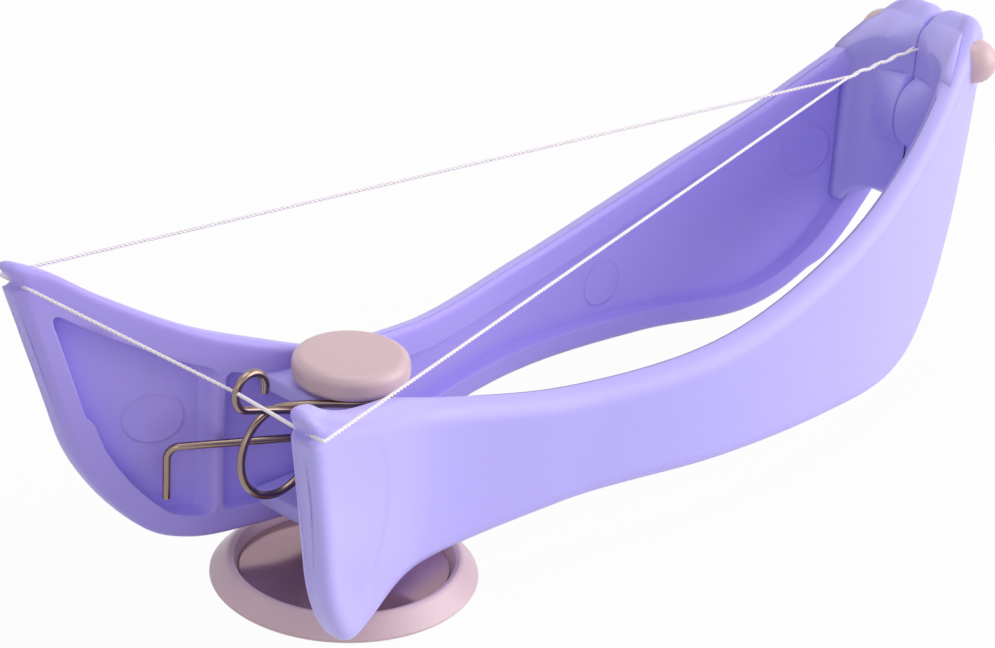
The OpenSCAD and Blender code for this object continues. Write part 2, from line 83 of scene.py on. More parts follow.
class ArmSizes(bpy.types.PropertyGroup):
    """Sizes of the two moulded arms"""

    wing_reach: length("Wing reach", 33.6, "Distance from the pivot back to the wing ends")
    tip_reach: length("Tip reach", 121.8, "Distance from the pivot forward to the tips")
    wing_half: length("Wing half width", 29.0, "Half width over the wing ends")
    waist_half: length("Waist half width", 12.4, "Half width beside the pivot")
    bow_half: length("Bow half width", 19.8, "Half width at the widest place ahead of the pivot")
    tip_half: length("Tip half width", 5.6, "Half width at the tips")
    wing_top: length("Wing top", 44.2, "Height of the wing's top corner")
    waist_top: length("Waist top", 28.4, "Height of the arm's top edge at the pivot")
    dip_top: length("Dip top", 22.9, "Height of the top edge where it dips ahead of the pivot")
    tip_top: length("Tip top", 49.4, "Height of the tips")
    waist_bottom: length("Waist bottom", 5.4, "Height of the lower edge at the pivot")
    arch_bottom: length("Arch bottom", 7.3, "Height of the lower edge where it arches")
    belly_bottom: length("Belly bottom", 3.6, "Lowest height of the belly near the tips")
    wing_depth: length("Wing depth", 4.8, "Depth of the rim at the wing")
    arm_depth: length("Arm depth", 3.5, "Depth of the rim ahead of the pivot")
    web: length("Web thickness", 1.8, "Thickness of the web behind the rim")
    edge: length("Edge radius", 2.6, "Radius of the rounded outer edges")
    rim_edge: length("Rim edge radius", 1.0, "Radius of the rim's inner edges")
    rim_top: length("Top rim width", 4.2, "Width of the rim along the top edge")
    rim_bottom: length("Bottom rim width", 3.2, "Width of the rim along the lower edge")
    rim_end: length("End rim width", 2.5, "Width of the rim along the wing's end")
    corner: length("Hollow corner radius", 1.4, "Corner radius of the hollows")
    end_bulge: length("End bulge", 1.5, "Bulge of the wing's curved end")
    end_sweep: length("End sweep", 15.0, "Strength of the sweep from the wing's end to its lower edge")
    wall: length("Hollow wall run", 0.5, "Run of the filleted wall of a hollow")


class NotchSizes(bpy.types.PropertyGroup):
    """Sizes of the lug and the thread notch at each wing's end, and of the thumb dent on its outer face"""

    nose: length("Lug nose radius", 1.2, "Radius of the lug's nose above the notch")
    drop: length("Notch drop", 2.8, "Depth of the notch's mouth below the wing's top corner")
    depth: length("Notch depth", 2.2, "Depth of the thread notch along the top edge")
    mouth: length("Notch mouth", 3.2, "Width of the notch at its mouth")
    radius: length("Notch radius", 0.6, "Radius at the bottom of the notch")
    dent_back: length("Thumb dent place", 21.0, "Distance of the thumb dent's centre behind the pivot")
    dent_height: length("Thumb dent height", 21.0, "Height of the thumb dent's centre")
    dent_radius: length("Thumb dent radius", 13.5, "Radius of the thumb dent")
    dent_depth: length("Thumb dent depth", 0.28, "Depth of the thumb dent behind its front edge")


class TipSizes(bpy.types.PropertyGroup):
    """Sizes of the solid block, the round pad and the anchor button of each tip"""

    gap: length("Tip gap", 0.1, "Gap between the closed tips")
    block: length("Tip block", 9.6, "Length of the solid block at each tip")
    pad: length("Pad radius", 5.9, "Radius of the round pad")
    pad_ahead: length("Pad place", 2.0, "Distance of the pad's centre ahead of the block's face")
    pad_drop: length("Pad drop", 14.6, "Height of the tips above the pad's centre")
    root: length("Root set-back", 2.2, "Distance of the block's root behind its meeting face")
    fillet: length("Base fillet", 2.2, "Radius of the fillet at the foot of the block")
    head_fillet: length("Head fillet", 3.4, "Radius of the fillet between the rim and the head of the block")
    foot_rise: length("Foot rise", 2.6, "How far the block's foot is drawn in above the arm's lower edge")
    crown: length("Crown radius", 2.0, "Radius of the rounded heads of the tips")
    face_edge: length("Face edge radius", 0.35, "Radius round the rest of the meeting face")
    button: length("Button radius", 3.2, "Radius of the anchor buttons")
    button_back: length("Button place", 6.6, "Distance of a button from the end of the tip")
    button_drop: length("Button drop", 5.3, "Height of the tips above the buttons' centres")
    button_sunk: length("Button depth", 0.3, "Depth of a button's centre below the outer face")


class HingeSizes(bpy.types.PropertyGroup):
    """Sizes of the hinge ears, the post, the cap and the dish"""

    ear_radius: length("Ear radius", 5.5, "Outer radius of the hinge ears")
    ear: length("Ear thickness", 2.1, "Thickness of one hinge ear")
    ear_gap: length("Ear gap", 0.1, "Gap between neighbouring ears")
    ear_low: length("Lowest ear", 5.8, "Height of the underside of the lowest ear")
    ear_top: length("Highest ear", 26.4, "Height of the top of the highest ear")
    post: length("Post radius", 2.6, "Radius of the pivot post")
    play: length("Post play", 0.05, "Running clearance of the post in the ears")
    cap_radius: length("Cap radius", 7.3, "Largest radius of the cap")
    cap_round: length("Cap edge radius", 1.4, "Radius of the cap's top edge")
    cap_lift: length("Cap lift", 1.3, "Gap between the highest ear and the cap")
    cap: length("Cap height", 3.4, "Height of the cap")
    dish_radius: length("Dish radius", 17.0, "Radius of the dish at its foot")
    opening: length("Dish opening", 13.9, "Radius of the dish's opening")
    dish: length("Dish height", 3.0, "Height of the dish's rim")
    floor: length("Dish floor", 1.0, "Thickness of the dish's floor")
    disc: length("Disc thickness", 0.4, "Thickness of the glossy disc in the dish")
    hub: length("Hub radius", 4.4, "Radius of the hub under the ears")


class WireSizes(bpy.types.PropertyGroup):
    """Sizes of the spring and hook wires"""

    diameter: length("Wire diameter", 1.0, "Diameter of the spring wires")
    coil: length("Coil radius", 3.4, "Radius of the arm spring's coil at the wire's middle")
    pitch: length("Coil pitch", 1.1, "Rise of the coil in one turn")
    turns: IntProperty(name="Coil turns", description="Turns of the arm spring", default=5, min=2, max=8)
    leg_z: length("Leg height", 18.2, "Height of the spring's upper leg")
    leg_reach: length("Leg reach", 17.0, "Distance from the pivot to the bend of each leg")
    leg_drop: length("Leg drop", 7.0, "Length of the bent end of each leg")
    leg_gap: length("Leg gap", 0.1, "Clearance of the legs over the wings' rims")
    hook_turn: length("Hook turn radius", 5.6, "Radius of the hook wire's turn under the cap")
    loop: length("Loop radius", 5.6, "Radius of the upright loop")
    loop_gap: length("Loop gap", 0.3, "Clearance of the loop behind the ears")
    shank: length("Shank length", 7.9, "Length of the shank between the loop and the eye")
    eye: length("Eye radius", 2.35, "Radius of the hook's eye")


class ThreadSizes(bpy.types.PropertyGroup):
    """Sizes of the thread"""

    diameter: length("Thread diameter", 0.46, "Diameter of the twisted thread")
    lay: length("Lay length", 1.3, "Length in which the plies make one turn")
    crossing: length("Crossing place", 25.8, "Distance of the crossing from the end of the tips")
    turns: IntProperty(name="Strand turns", description="Turns of the two strands round each other",
                       default=3, min=1, max=9)


class Finishes(bpy.types.PropertyGroup):
    """Colours of the plastics, wires and thread"""

    lavender: colour("Lavender", (0.53, 0.47, 1.0), "Colour of the arms")
    # Painted shade: a deeper lavender that the arms' inner faces get in place of the shade that falls inside
    # them.
    inner: colour("Inner lavender", (0.50, 0.41, 1.0), "Deeper colour of the arms' inner faces")
    pink: colour("Pink", (0.70, 0.50, 0.54), "Colour of the cap, dish and buttons")
    mauve: colour("Dish floor", (0.42, 0.25, 0.29), "Colour of the glossy dish floor")
    nickel: colour("Nickel", (0.30, 0.22, 0.18), "Colour of the spring wires")
    steel: colour("Steel", (0.55, 0.54, 0.52), "Colour of the pivot post")
    cotton: colour("Cotton", (0.97, 0.90, 0.94), "Colour of the thread")


class StageSettings(bpy.types.PropertyGroup):
    """Floor and lights"""

    floor: colour("Floor", (0.7, 0.7, 0.7), "Colour of the floor")
    key: strength("Key light", 6.2, "Power of the key light in watts")
    fill: strength("Fill light", 0.6, "Power of the fill light in watts")
    top: strength("Top light", 1.3, "Power of the top light in watts")
    sky: strength("Sky light", 0.45, "Strength of the even light around")


class ToolSettings(bpy.types.PropertyGroup):
    """All settings of the threading tool"""

    arms: PointerProperty(type=ArmSizes)
    notch: PointerProperty(type=NotchSizes)
    tips: PointerProperty(type=TipSizes)
    hinge: PointerProperty(type=HingeSizes)
    wires: PointerProperty(type=WireSizes)
    thread: PointerProperty(type=ThreadSizes)
    finishes: PointerProperty(type=Finishes)
    stage: PointerProperty(type=StageSettings)


def settings():
    """The tool's settings on the scene."""
    return bpy.context.scene.threading_tool


class Millimetres:
    """The sizes of the tool in millimetres, one dictionary for each group, and its counts as they are."""

    def __init__(self):
        """Lengths divided by a millimetre, and counts as they are."""
        for name in ("arms", "notch", "tips", "hinge", "wires", "thread"):
            group = getattr(settings(), name)
            values = {key: getattr(group, key) for key in group.__annotations__}
            plain = {key: value if isinstance(value, int) else value / MM for key, value in values.items()}
            setattr(self, name, plain)


# Curves and fields


def through(points, t):
    """Catmull-Rom curve through the points: cubic between points, whole values of t at the points."""
    t = np.asarray(t, float)
    i = np.clip(np.floor(t).astype(int), 0, len(points) - 2)
    f = (t - i)[..., None]
    a, b, c, d = (points[np.clip(i + k, 0, len(points) - 1)] for k in (-1, 0, 1, 2))
    return (2 * b + (c - a) * f + (2 * a - 5 * b + 4 * c - d) * f**2 + (3 * b - a - 3 * c + d) * f**3) / 2


def hermite(f, start, end, leave, arrive):
    """Cubic from start at f = 0 to end at f = 1 whose slopes there are leave and arrive."""
    return (start * (1 + 2 * f) * (1 - f) ** 2 + leave * f * (1 - f) ** 2
            + end * f**2 * (3 - 2 * f) - arrive * f**2 * (1 - f))


def height_at(points, x):
    """Hermite height of [x, y] points at x, its slopes taken from each point's two neighbours."""
    last = len(points) - 1
    i = np.clip(np.searchsorted(points[:, 0], x, side="right") - 1, 0, last - 1)

    def slope(k):
        """Rise over run between the points before and after point k."""
        a, b = np.clip(k - 1, 0, last), np.clip(k + 1, 0, last)
        return (points[b, 1] - points[a, 1]) / (points[b, 0] - points[a, 0])

    h = points[i + 1, 0] - points[i, 0]
    f = (x - points[i, 0]) / h
    return hermite(f, points[i, 1], points[i + 1, 1], slope(i) * h, slope(i + 1) * h)


def ease(x):
    """Smooth step: 0 below 0, 1 above 1 and 3x^2 - 2x^3 between."""
    x = np.clip(x, 0.0, 1.0)
    return x * x * (3 - 2 * x)


def round_over(distance, radius):
    """Drop of a quarter-round edge at a distance from the edge: the radius at 0, and 0 past the radius."""
    left = radius - np.clip(distance, 0, radius)
    return radius - np.sqrt(radius**2 - left**2)


def distance_to(line, points):
    """Least distance from each point of a grid to the segments of a line."""
    start, way = line[:-1], np.diff(line, axis=0)
    tiny = 1e-12
    size = np.maximum((way**2).sum(-1), tiny)
    out = np.empty(points.shape[:-1])
    for k, row in enumerate(points):
        off = row[:, None] - start
        share = np.clip((off * way).sum(-1) / size, 0, 1)
        out[k] = np.linalg.norm(off - share[..., None] * way, axis=-1).min(-1)
    return out


class Arm:
    """Curves of the rear arm in millimetres: its side view between a lower and an upper edge, its outer
    face seen from above, and the depth of its rim. The front arm is its mirror image.

    A hollow lies between each two of hollow_ends, counted in the edges' points. The rim's depth changes
    over depth_over, from depth_from behind the pivot. The wing's end shapes the grid up to end_reach."""

    hollow_ends = ((0.0, 3.3), (3.39, 4.6), (5.2, 10.65))
    depth_from, depth_over = 12, 30
    end_reach = 0.85
    least_lean = 0.35

    def __init__(self, mm):
        """The points of the three curves, as offsets from the named sizes."""
        s = self.sizes = mm.arms
        self.notch, self.tips = mm.notch, mm.tips
        wing, high, waist, arch, belly = (s[k] for k in ("wing_reach", "wing_top", "waist_bottom",
                                                         "arch_bottom", "belly_bottom"))
        tip, top, dip = s["tip_reach"], s["tip_top"], s["dip_top"]
        self.lower = np.array([
            [-wing + 6.4, high / 2 - 1.8], [-wing + 10, waist + 8.6], [-wing + 14.4, waist + 1.6],
            [-wing + 20.1, waist - 0.8], [-wing + 29.6, waist - 0.3], [8, waist + 0.5], [28, arch],
            [tip * 0.42, arch - 0.9], [tip * 0.61, belly + 1.2], [tip - 28, belly], [tip - 16.6, belly + 5.4],
            [tip - 9, belly + 15.4], [tip - 3.6, belly + 27.6], [tip - 0.8, top - 9.2], [tip, top - 6.2]])
        self.upper = np.array([
            [-wing + 0.4, high], [-wing + 5.4, high - 2.1], [-wing + 11.1, high - 5.9],
            [-wing + 20.1, high - 10.8], [-wing + 29.6, s["waist_top"] + 1.6], [8, s["waist_top"] - 2.2],
            [28, dip], [tip * 0.42, dip + 0.7], [tip * 0.6, dip + 5.6], [tip - 30.8, top - 14.6],
            [tip - 18.8, top - 8.4], [tip - 10.8, top - 3.4], [tip - 5.5, top], [tip - 2.2, top - 1],
            [tip - 0.3, top - 3.8]])
        wide, narrow, bow = s["wing_half"], s["waist_half"], s["bow_half"]
        self.plan = np.array([
            [-wing, wide], [-wing * 0.65, wide * 0.57 + narrow * 0.48],
            [-wing * 0.32, wide * 0.22 + narrow * 0.82], [2, narrow], [tip * 0.19, narrow + 2.8],
            [tip * 0.41, bow], [tip * 0.63, bow - 0.7], [tip - 26.3, bow - 4.5],
            [tip - 10.8, s["tip_half"] + 4.6], [tip, s["tip_half"]]])
        self.last = len(self.lower) - 1
        self.top_way = self.upper[1] - self.upper[0]
        self.top_step = np.linalg.norm(self.top_way)
        self.button = np.array([tip - self.tips["button_back"], 0, top - self.tips["button_drop"]])
        self.button[1] = self.outer(self.button[0]) - self.tips["button_sunk"]
        self.block_x = tip - self.tips["block"]

    def outer(self, x):
        """Distance of the outer face from the mid-plane."""
        return height_at(self.plan, x)

    def depth(self, x):
        """Depth of the rim: the wing's depth behind the pivot, easing to the arm's depth ahead of it."""
        s = self.sizes
        share = ease((x + self.depth_from) / self.depth_over)
        return s["wing_depth"] + (s["arm_depth"] - s["wing_depth"]) * share

    def inner(self, x):
        """Distance of the rim's inner face from the mid-plane."""
        return self.outer(x) - self.depth(x)

    def low(self, t):
        """Lower edge: a Hermite cubic from the wing's end to the third point, in line with the end."""
        start, second, third, fourth = self.lower[:4]
        leave = (start - self.upper[0]) / np.linalg.norm(start - self.upper[0]) * self.sizes["end_sweep"]
        f = np.asarray(t, float)[..., None] / 2
        sweep = hermite(f, start, third, leave, fourth - second)
        return np.where(f < 1, sweep, through(self.lower, t))

    def across(self, t):
        """Lower end and vector of the cross-section line at station t."""
        low = self.low(t)
        return low, through(self.upper, t) - low

    def lean(self, rows, t):
        """Sine of the angle between an edge and the cross-section line at t, never under a least."""
        step = 0.05
        t = np.minimum(t, self.last - step)
        way = through(rows, t + step) - through(rows, t)
        _, up = self.across(t)
        area = np.abs(way[..., 0] * up[..., 1] - way[..., 1] * up[..., 0])
        sine = area / np.linalg.norm(way, axis=-1) / np.linalg.norm(up, axis=-1)
        return np.maximum(self.least_lean, sine)

    def ahead_of(self, t, points):
        """Signed distance of points ahead of the straight cross-section line at station t."""
        low, up = self.across(t)
        up = up / np.linalg.norm(up)
        off = points - low
        return off[..., 0] * up[1] - off[..., 1] * up[0]

    def end_bulge(self, drop):
        """How far the wing's end stands out along the top edge: a parabola between its two corners.

        It is the bulge times 4 s (1 - s) at the share s of the way from the top corner to the lower one."""
        share = drop / self.across(0.0)[1][1]
        return 4 * self.sizes["end_bulge"] * share * (1 - share)

    def end_pull(self, drop):
        """How far the wing's end is pulled in along the top edge, at a drop below the top corner.

        The lug's nose is a circle that touches both edges, and the notch a V with a round bottom."""
        n = self.notch
        _, up = self.across(0.0)
        down = drop * np.linalg.norm(up) / up[1]
        turn = math.acos(np.dot(-up, self.top_way) / np.linalg.norm(up) / self.top_step)
        reach = n["nose"] / math.tan(turn / 2)
        inside = n["nose"] - np.minimum(down, reach) * math.sin(turn)
        nose = reach - down * math.cos(turn) - np.sqrt(np.maximum(0, n["nose"] ** 2 - inside**2))
        nose = np.where(down < reach, np.maximum(nose, 0), 0)
        off = np.abs(drop - n["drop"])
        half, bottom = n["mouth"] / 2, n["depth"] - n["radius"]
        curve = bottom + np.sqrt(np.maximum(0, n["radius"] ** 2 - np.minimum(off, n["radius"]) ** 2))
        slope = bottom * (half - off) / (half - n["radius"])
        notch = np.where(off < n["radius"], curve, np.maximum(0, slope))
        return np.maximum(nose, notch)

    def notch_seat(self, radius):
        """Side-view place of a thread of a given radius in the notch's bottom."""
        clearance = 0.05
        low, up = self.across(0.0)
        mouth = low + up * (1 - self.notch["drop"] / up[1])
        deep = self.notch["depth"] - self.end_bulge(self.notch["drop"]) - radius - clearance
        return mouth + self.top_way / self.top_step * deep

    def stations(self):
        """Places along the arm: close at the wing, at the ends of a hollow and at the tip.

        Between them the spacing follows the stations at, and no two places are closer than a least step."""
        s, fine = self.sizes, np.linspace(0, self.last, 2801)
        at = [1.2, 1.6, 4.6, 5.2, 9.4, 10.2]
        spacing = [0.22, 0.36, 0.4, 0.9, 0.9, 0.45]
        near = np.array([0, 0.04, 0.13, 0.27])
        wall = s["wall"] * np.linspace(0, 1, 5)
        half, least = 0.5, 0.002
        low, high = self.low(fine), through(self.upper, fine)
        run = np.maximum(np.linalg.norm(np.diff(low, axis=0), axis=1),
                         np.linalg.norm(np.diff(high, axis=0), axis=1))
        count = np.concatenate([[0], np.cumsum(run / np.interp(fine[1:], at, spacing))])
        even = np.interp(np.arange(math.floor(count[-1])), count, fine)
        extra = [near / self.top_step, self.last - near / np.linalg.norm(self.upper[-1] - self.upper[-2])]
        extra.append((s["rim_end"] + wall) / self.top_step)
        for start, end in self.hollow_ends:
            size = np.linalg.norm(through(self.upper, start + half) - through(self.upper, start - half))
            extra += [start + wall / size, end - wall / size]
        t = np.unique(np.concatenate([even, *extra]))
        return t[np.concatenate([[True], np.diff(t) > least])]

    def lines(self, t):
        """Shares of the cross-section at which lines run along the arm, for each station.

        They crowd over both rounded edges and both rim walls, and are even between."""
        s = self.sizes
        arc = [0, 8, 18, 29, 41, 54, 67, 80, 90]
        over_wall = [-0.12, 0, 0.14, 0.28, 0.42, 0.58, 0.72, 0.86, 1, 1.15]
        before_wall, most = 0.15, 0.44
        _, up = self.across(t)
        tall = np.linalg.norm(up, axis=-1)[:, None]
        edge = s["edge"] * (1 - np.cos(np.radians(arc)))
        sides = []
        for rows, rim in ((self.lower, s["rim_bottom"]), (self.upper, s["rim_top"])):
            between = np.linspace(s["edge"], rim - before_wall, 4)[1:-1]
            wall = rim + s["wall"] * np.array(over_wall)
            sides.append(np.concatenate([edge, between, wall]) / self.lean(rows, t)[:, None])
        room = np.minimum(1, most * tall / np.maximum(sides[0][:, -1:], sides[1][:, -1:]))
        low, high = sides[0] * room, tall - sides[1][:, ::-1] * room
        share = np.linspace(0, 1, 58)[1:-1]
        return np.concatenate([low, low[:, -1:] + (high[:, :1] - low[:, -1:]) * share, high], 1) / tall

    def side_grid(self, notched=True):
        """Side-view places of the grid's points, with the notch and the lug's nose at the wing's end."""
        t = self.stations()
        share = self.lines(t)
        t = np.repeat(t[:, None], share.shape[1], 1)
        drop = self.across(0.0)[1][1] * (1 - share)
        pull = self.end_pull(drop) if notched else 0
        t = t + (pull - self.end_bulge(drop)) / self.top_step * np.maximum(0, 1 - t / self.end_reach)
        low, up = self.across(t)
        return low + up * share[..., None]

    def hollow_share(self, places):
        """Share of the hollows' full depth: 0 on the rim and ribs, 1 on the web, eased over the wall."""
        s, along = self.sizes, np.linspace(0, self.last, 500)
        low = distance_to(self.low(along), places) - s["rim_bottom"]
        high = distance_to(through(self.upper, along), places) - s["rim_top"]
        low = np.minimum(low, distance_to(places[0], places) - s["rim_end"])
        share = np.zeros(places.shape[:-1])
        for a, b in self.hollow_ends:
            limits = np.stack([low, high, self.ahead_of(a, places), -self.ahead_of(b, places)])
            inside = s["corner"] - np.linalg.norm(np.maximum(0, s["corner"] - limits), axis=0)
            share = np.maximum(share, ease(inside / s["wall"]))
        return share


# Meshes


def add_mesh(name, verts, faces, material, smooth=True):
    """A new object at the origin from vertices in millimetres and faces that all point outwards."""
    mesh = bpy.data.meshes.new(name)
    mesh.from_pydata((np.asarray(verts, float) * MM).tolist(), [], faces)
    solid = bmesh.new()
    solid.from_mesh(mesh)
    bmesh.ops.recalc_face_normals(solid, faces=solid.faces)
    solid.to_mesh(mesh)
    solid.free()
    mesh.polygons.foreach_set("use_smooth", [smooth] * len(mesh.polygons))
    mesh.materials.append(material)
    obj = bpy.data.objects.new(name, mesh)
    bpy.context.scene.collection.objects.link(obj)
    return obj


def lattice(rows, cols, start=0, close_cols=False, close_rows=False):
    """Quads of a lattice of vertices counted row by row, closed round either way if asked."""
    down = np.arange(rows if close_rows else rows - 1)
    along = np.arange(cols if close_cols else cols - 1)
    r, c = np.meshgrid(down, along, indexing="ij")
    r2, c2 = (r + 1) % rows, (c + 1) % cols
    corners = [r * cols + c, r2 * cols + c, r2 * cols + c2, r * cols + c2]
    return (np.stack(corners, -1).reshape(-1, 4) + start).tolist()


def closed_rings(rings):
    """Shell of equal rings, joined in order and closed by a face at each end."""
    rings = np.asarray(rings)
    count, size = rings.shape[:2]
    faces = lattice(count, size, close_cols=True)
    faces.append(list(range(size)))
    faces.append(list(range((count - 1) * size, count * size)))
    return rings.reshape(-1, 3), faces


def joined(*shells):
    """Several shells as one list of vertices and one of faces."""
    verts, faces, count = [], [], 0
    for points, quads in shells:
        verts.append(points)
        faces += [[k + count for k in face] for face in quads]
        count += len(points)
    return np.concatenate(verts), faces


def turned(profile, steps=160, close=False):
    """Solid of revolution about Z: each profile point [radius, height] sweeps a circle.

    A profile from pole to pole is closed by a small face at each, and a closed one runs round itself."""
    p = np.asarray(profile, float)
    angle = np.linspace(0, 2 * math.pi, steps, endpoint=False)
    rings = np.stack([p[:, :1] * np.cos(angle), p[:, :1] * np.sin(angle), np.repeat(p[:, 1:], steps, 1)], -1)
    if close:
        return rings.reshape(-1, 3), lattice(len(p), steps, close_cols=True, close_rows=True)
    return closed_rings(rings)


def softened(points, radii, steps=7):
    """Profile with its inner corners replaced by quadratic curves that start a given length from each."""
    p = np.asarray(points, float)
    out = [p[:1]]
    for k, r in enumerate(radii, 1):
        a = p[k] + (p[k - 1] - p[k]) / np.linalg.norm(p[k - 1] - p[k]) * r
        b = p[k] + (p[k + 1] - p[k]) / np.linalg.norm(p[k + 1] - p[k]) * r
        f = np.linspace(0, 1, steps)[:, None]
        out.append((1 - f) ** 2 * a + 2 * f * (1 - f) * p[k] + f**2 * b)
    return np.concatenate([*out, p[-1:]])


def resampled(path, step):
    """The path with points an even step apart, and how far along it each of them lies."""
    size = np.linalg.norm(np.diff(path, axis=0), axis=1)
    at = np.concatenate([[0], np.cumsum(size)])
    want = np.linspace(0, at[-1], max(2, round(at[-1] / step) + 1))
    return np.stack([np.interp(want, at, column) for column in np.transpose(path)], -1), want


def carried_frame(path):
    """Tangents of a path and two normals that turn as little as possible along it."""
    way = np.gradient(path, axis=0)
    way /= np.linalg.norm(way, axis=1, keepdims=True)
    normal = np.empty_like(path)
    steep = 0.9
    seed = np.array([0.0, 0.0, 1.0]) if abs(way[0, 2]) < steep else np.array([1.0, 0.0, 0.0])
    for k, t in enumerate(way):
        seed = seed - seed.dot(t) * t
        seed /= np.linalg.norm(seed)
        normal[k] = seed
    return way, normal, np.cross(way, normal)


def tube(path, radius, sides=16):
    """Tube: circles of the radius square to the path, with domed ends of three smaller circles."""
    way, n, b = carried_frame(path)
    angle = np.linspace(0, 2 * math.pi, sides, endpoint=False)[:, None]
    circle = np.cos(angle) * n[:, None] + np.sin(angle) * b[:, None]
    dome = [(0.12, 0.97), (0.28, 0.75), (0.34, 0.35)]
    first = [path[0] - radius * out * way[0] + radius * size * circle[0] for out, size in reversed(dome)]
    last = [path[-1] + radius * out * way[-1] + radius * size * circle[-1] for out, size in dome]
    return closed_rings([*first, *(path[:, None] + radius * circle), *last])


def flipped(points):
    """The points mirrored to the front side."""
    return np.asarray(points) * np.array([1.0, -1.0, 1.0])


def settle(obj, body, slot, *nodes):
    """Puts the piece on its body and hides the CAD nodes that it stands for; the slot is not used."""
    if body:
        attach(obj, body)
    if nodes:
        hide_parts(*nodes)


# Arms


def arm_sheets(arm):
    """One arm as two sheets over the side view, joined by a wall round them.

    The outer sheet is the plan curve less a quarter-round edge and the thumb dent, a disc that is crisp
    at its front edge and fades out to the back.
    The inner sheet is the rim's face, sunk to the web in the hollows and rounded along its border, but
    flat where the tip block's fillet stands on it."""
    s, n = arm.sizes, arm.notch
    crisp, fade_from, fade_over = 0.1, 6, 14
    flatten_over, thinnest = 3, 0.3
    places = arm.side_grid()
    x, z = places[..., 0], places[..., 1]
    border = np.concatenate([places[:, 0], places[-1], places[::-1, -1], places[0, ::-1]])
    edge = distance_to(border, places)
    dent = np.hypot(x + n["dent_back"], z - n["dent_height"]) / n["dent_radius"]
    dent = n["dent_depth"] * ease((1 - dent) / crisp) * ease((x + n["dent_back"] + fade_from) / fade_over)
    outer = arm.outer(x) - round_over(edge, s["edge"]) - dent
    share = arm.hollow_share(arm.side_grid(notched=False))
    root = arm.block_x - arm.tips["root"] - arm.tips["head_fillet"]
    curl = round_over(edge, s["rim_edge"]) * ease((root - x) / flatten_over)
    inner = arm.inner(x) + curl + share * (arm.depth(x) - s["web"])
    inner = np.minimum(inner, outer - thinnest)
    rows, cols = x.shape
    count = rows * cols
    verts = [np.stack([x, y, z], -1).reshape(-1, 3) for y in (outer, inner)]
    index = np.arange(count).reshape(rows, cols)
    ring = np.concatenate([index[:, 0], index[-1, 1:], index[-2::-1, -1], index[0, -2:0:-1]])
    ahead = np.roll(ring, -1)
    wall = np.stack([ring, ahead, ahead + count, ring + count], -1).tolist()
    return np.concatenate(verts), lattice(rows, cols) + lattice(rows, cols, start=count) + wall


